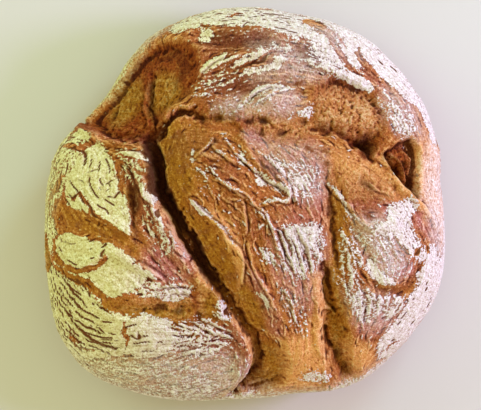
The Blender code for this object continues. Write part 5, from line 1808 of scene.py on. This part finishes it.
@dataclass
class Studio:
    """A pale floor, soft lamps and the camera that looks straight down on the loaf."""

    crown: tuple[float, float]
    floor_colour: Colour = (0.7, 0.7, 0.7, 1.0)
    floor_size: float = 6.0
    world_strength: float = 0.70
    lens: float = 135.0
    camera_height: float = 1.145
    camera_shift: tuple[float, float] = (-0.0028, -0.0003)

    def floor(self) -> bpy.types.Object:
        """A pale matt floor just under the loaf."""
        half = self.floor_size / 2.0
        mesh = bpy.data.meshes.new("floor")
        corners = [(-half, -half, 0.0), (half, -half, 0.0), (half, half, 0.0), (-half, half, 0.0)]
        mesh.from_pydata(corners, [], [(0, 1, 2, 3)])
        material = bpy.data.materials.new("floor_paper")
        material.use_nodes = True
        nodes = Nodes(material.node_tree)
        shader = nodes.add("ShaderNodeBsdfPrincipled")
        shader.inputs["Base Color"].default_value = self.floor_colour
        shader.inputs["Roughness"].default_value = 0.9
        nodes.feed(nodes.add("ShaderNodeOutputMaterial").inputs["Surface"], shader.outputs[0])
        mesh.materials.append(material)
        floor = bpy.data.objects.new("floor", mesh)
        floor.location.z = -0.0002
        bpy.context.scene.collection.objects.link(floor)
        return floor

    def lamp(self, lamp: Lamp) -> bpy.types.Object:
        """Hangs one soft lamp and turns it to the loaf."""
        place, size, power, colour = lamp.value
        light = bpy.data.lights.new(lamp.name.lower(), "AREA")
        light.shape = "DISK"
        light.size = size
        light.energy = power
        light.color = colour
        hung = bpy.data.objects.new(lamp.name.lower(), light)
        hung.location = place
        hung.rotation_euler = (-Vector(place)).to_track_quat("-Z", "Y").to_euler()
        bpy.context.scene.collection.objects.link(hung)
        return hung

    def camera(self) -> bpy.types.Object:
        """The camera over the crown, looking straight down."""
        data = bpy.data.cameras.new("camera")
        data.lens = self.lens
        data.sensor_width = 36.0
        data.clip_end = 20.0
        camera = bpy.data.objects.new("camera", data)
        camera.location = (self.crown[0] + self.camera_shift[0], self.crown[1] + self.camera_shift[1],
                           self.camera_height)
        bpy.context.scene.collection.objects.link(camera)
        bpy.context.scene.camera = camera
        return camera

    def world(self) -> None:
        """Even pale light from all round."""
        world = bpy.data.worlds.new("studio")
        world.use_nodes = True
        background = world.node_tree.nodes["Background"]
        background.inputs["Color"].default_value = (1.0, 0.9, 0.46, 1.0)
        background.inputs["Strength"].default_value = self.world_strength
        bpy.context.scene.world = world

    def set_up(self) -> None:
        """Builds the whole studio."""
        self.world()
        self.floor()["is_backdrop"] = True
        for lamp in Lamp:
            self.lamp(lamp)
        self.camera()
        bpy.context.scene.view_settings.view_transform = "Standard"


def centre_on(piece: bpy.types.Object, bounds: Sequence[Sequence[float]]) -> tuple[float, float]:
    """Moves a piece's mesh so that its box has the same middle as the given bounds, seen from above.

    Args:
        piece: the object whose mesh is moved.
        bounds: lowest and highest corner to centre on.

    Returns:
        How far the mesh was moved to the east and to the north.
    """
    corners = np.array([vertex.co for vertex in piece.data.vertices])
    middle = (corners.min(axis=0) + corners.max(axis=0)) / 2.0
    low, high = bounds
    move = [(low[axis] + high[axis]) / 2.0 - middle[axis] for axis in (0, 1)]
    piece.data.transform(Matrix.Translation((move[0], move[1], 0.0)))
    return move[0], move[1]


def main() -> None:
    """Builds the loaf and its studio in order and reports each piece."""
    logging.basicConfig(level=logging.INFO, format="%(name)s: %(message)s")
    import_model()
    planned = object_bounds()
    crust = Crust(cells=400)
    loaf = crust.build()
    crown = centre_on(loaf, planned)
    loaf.data.materials.append(CrustFinish().material())
    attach(loaf, "root")
    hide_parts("loaf")
    LOG.info("crust: %d faces", len(loaf.data.polygons))
    Studio(crown).set_up()
    LOG.info("studio: floor, %d lamps and camera", len(Lamp))


if __name__ == "__main__":
    main()
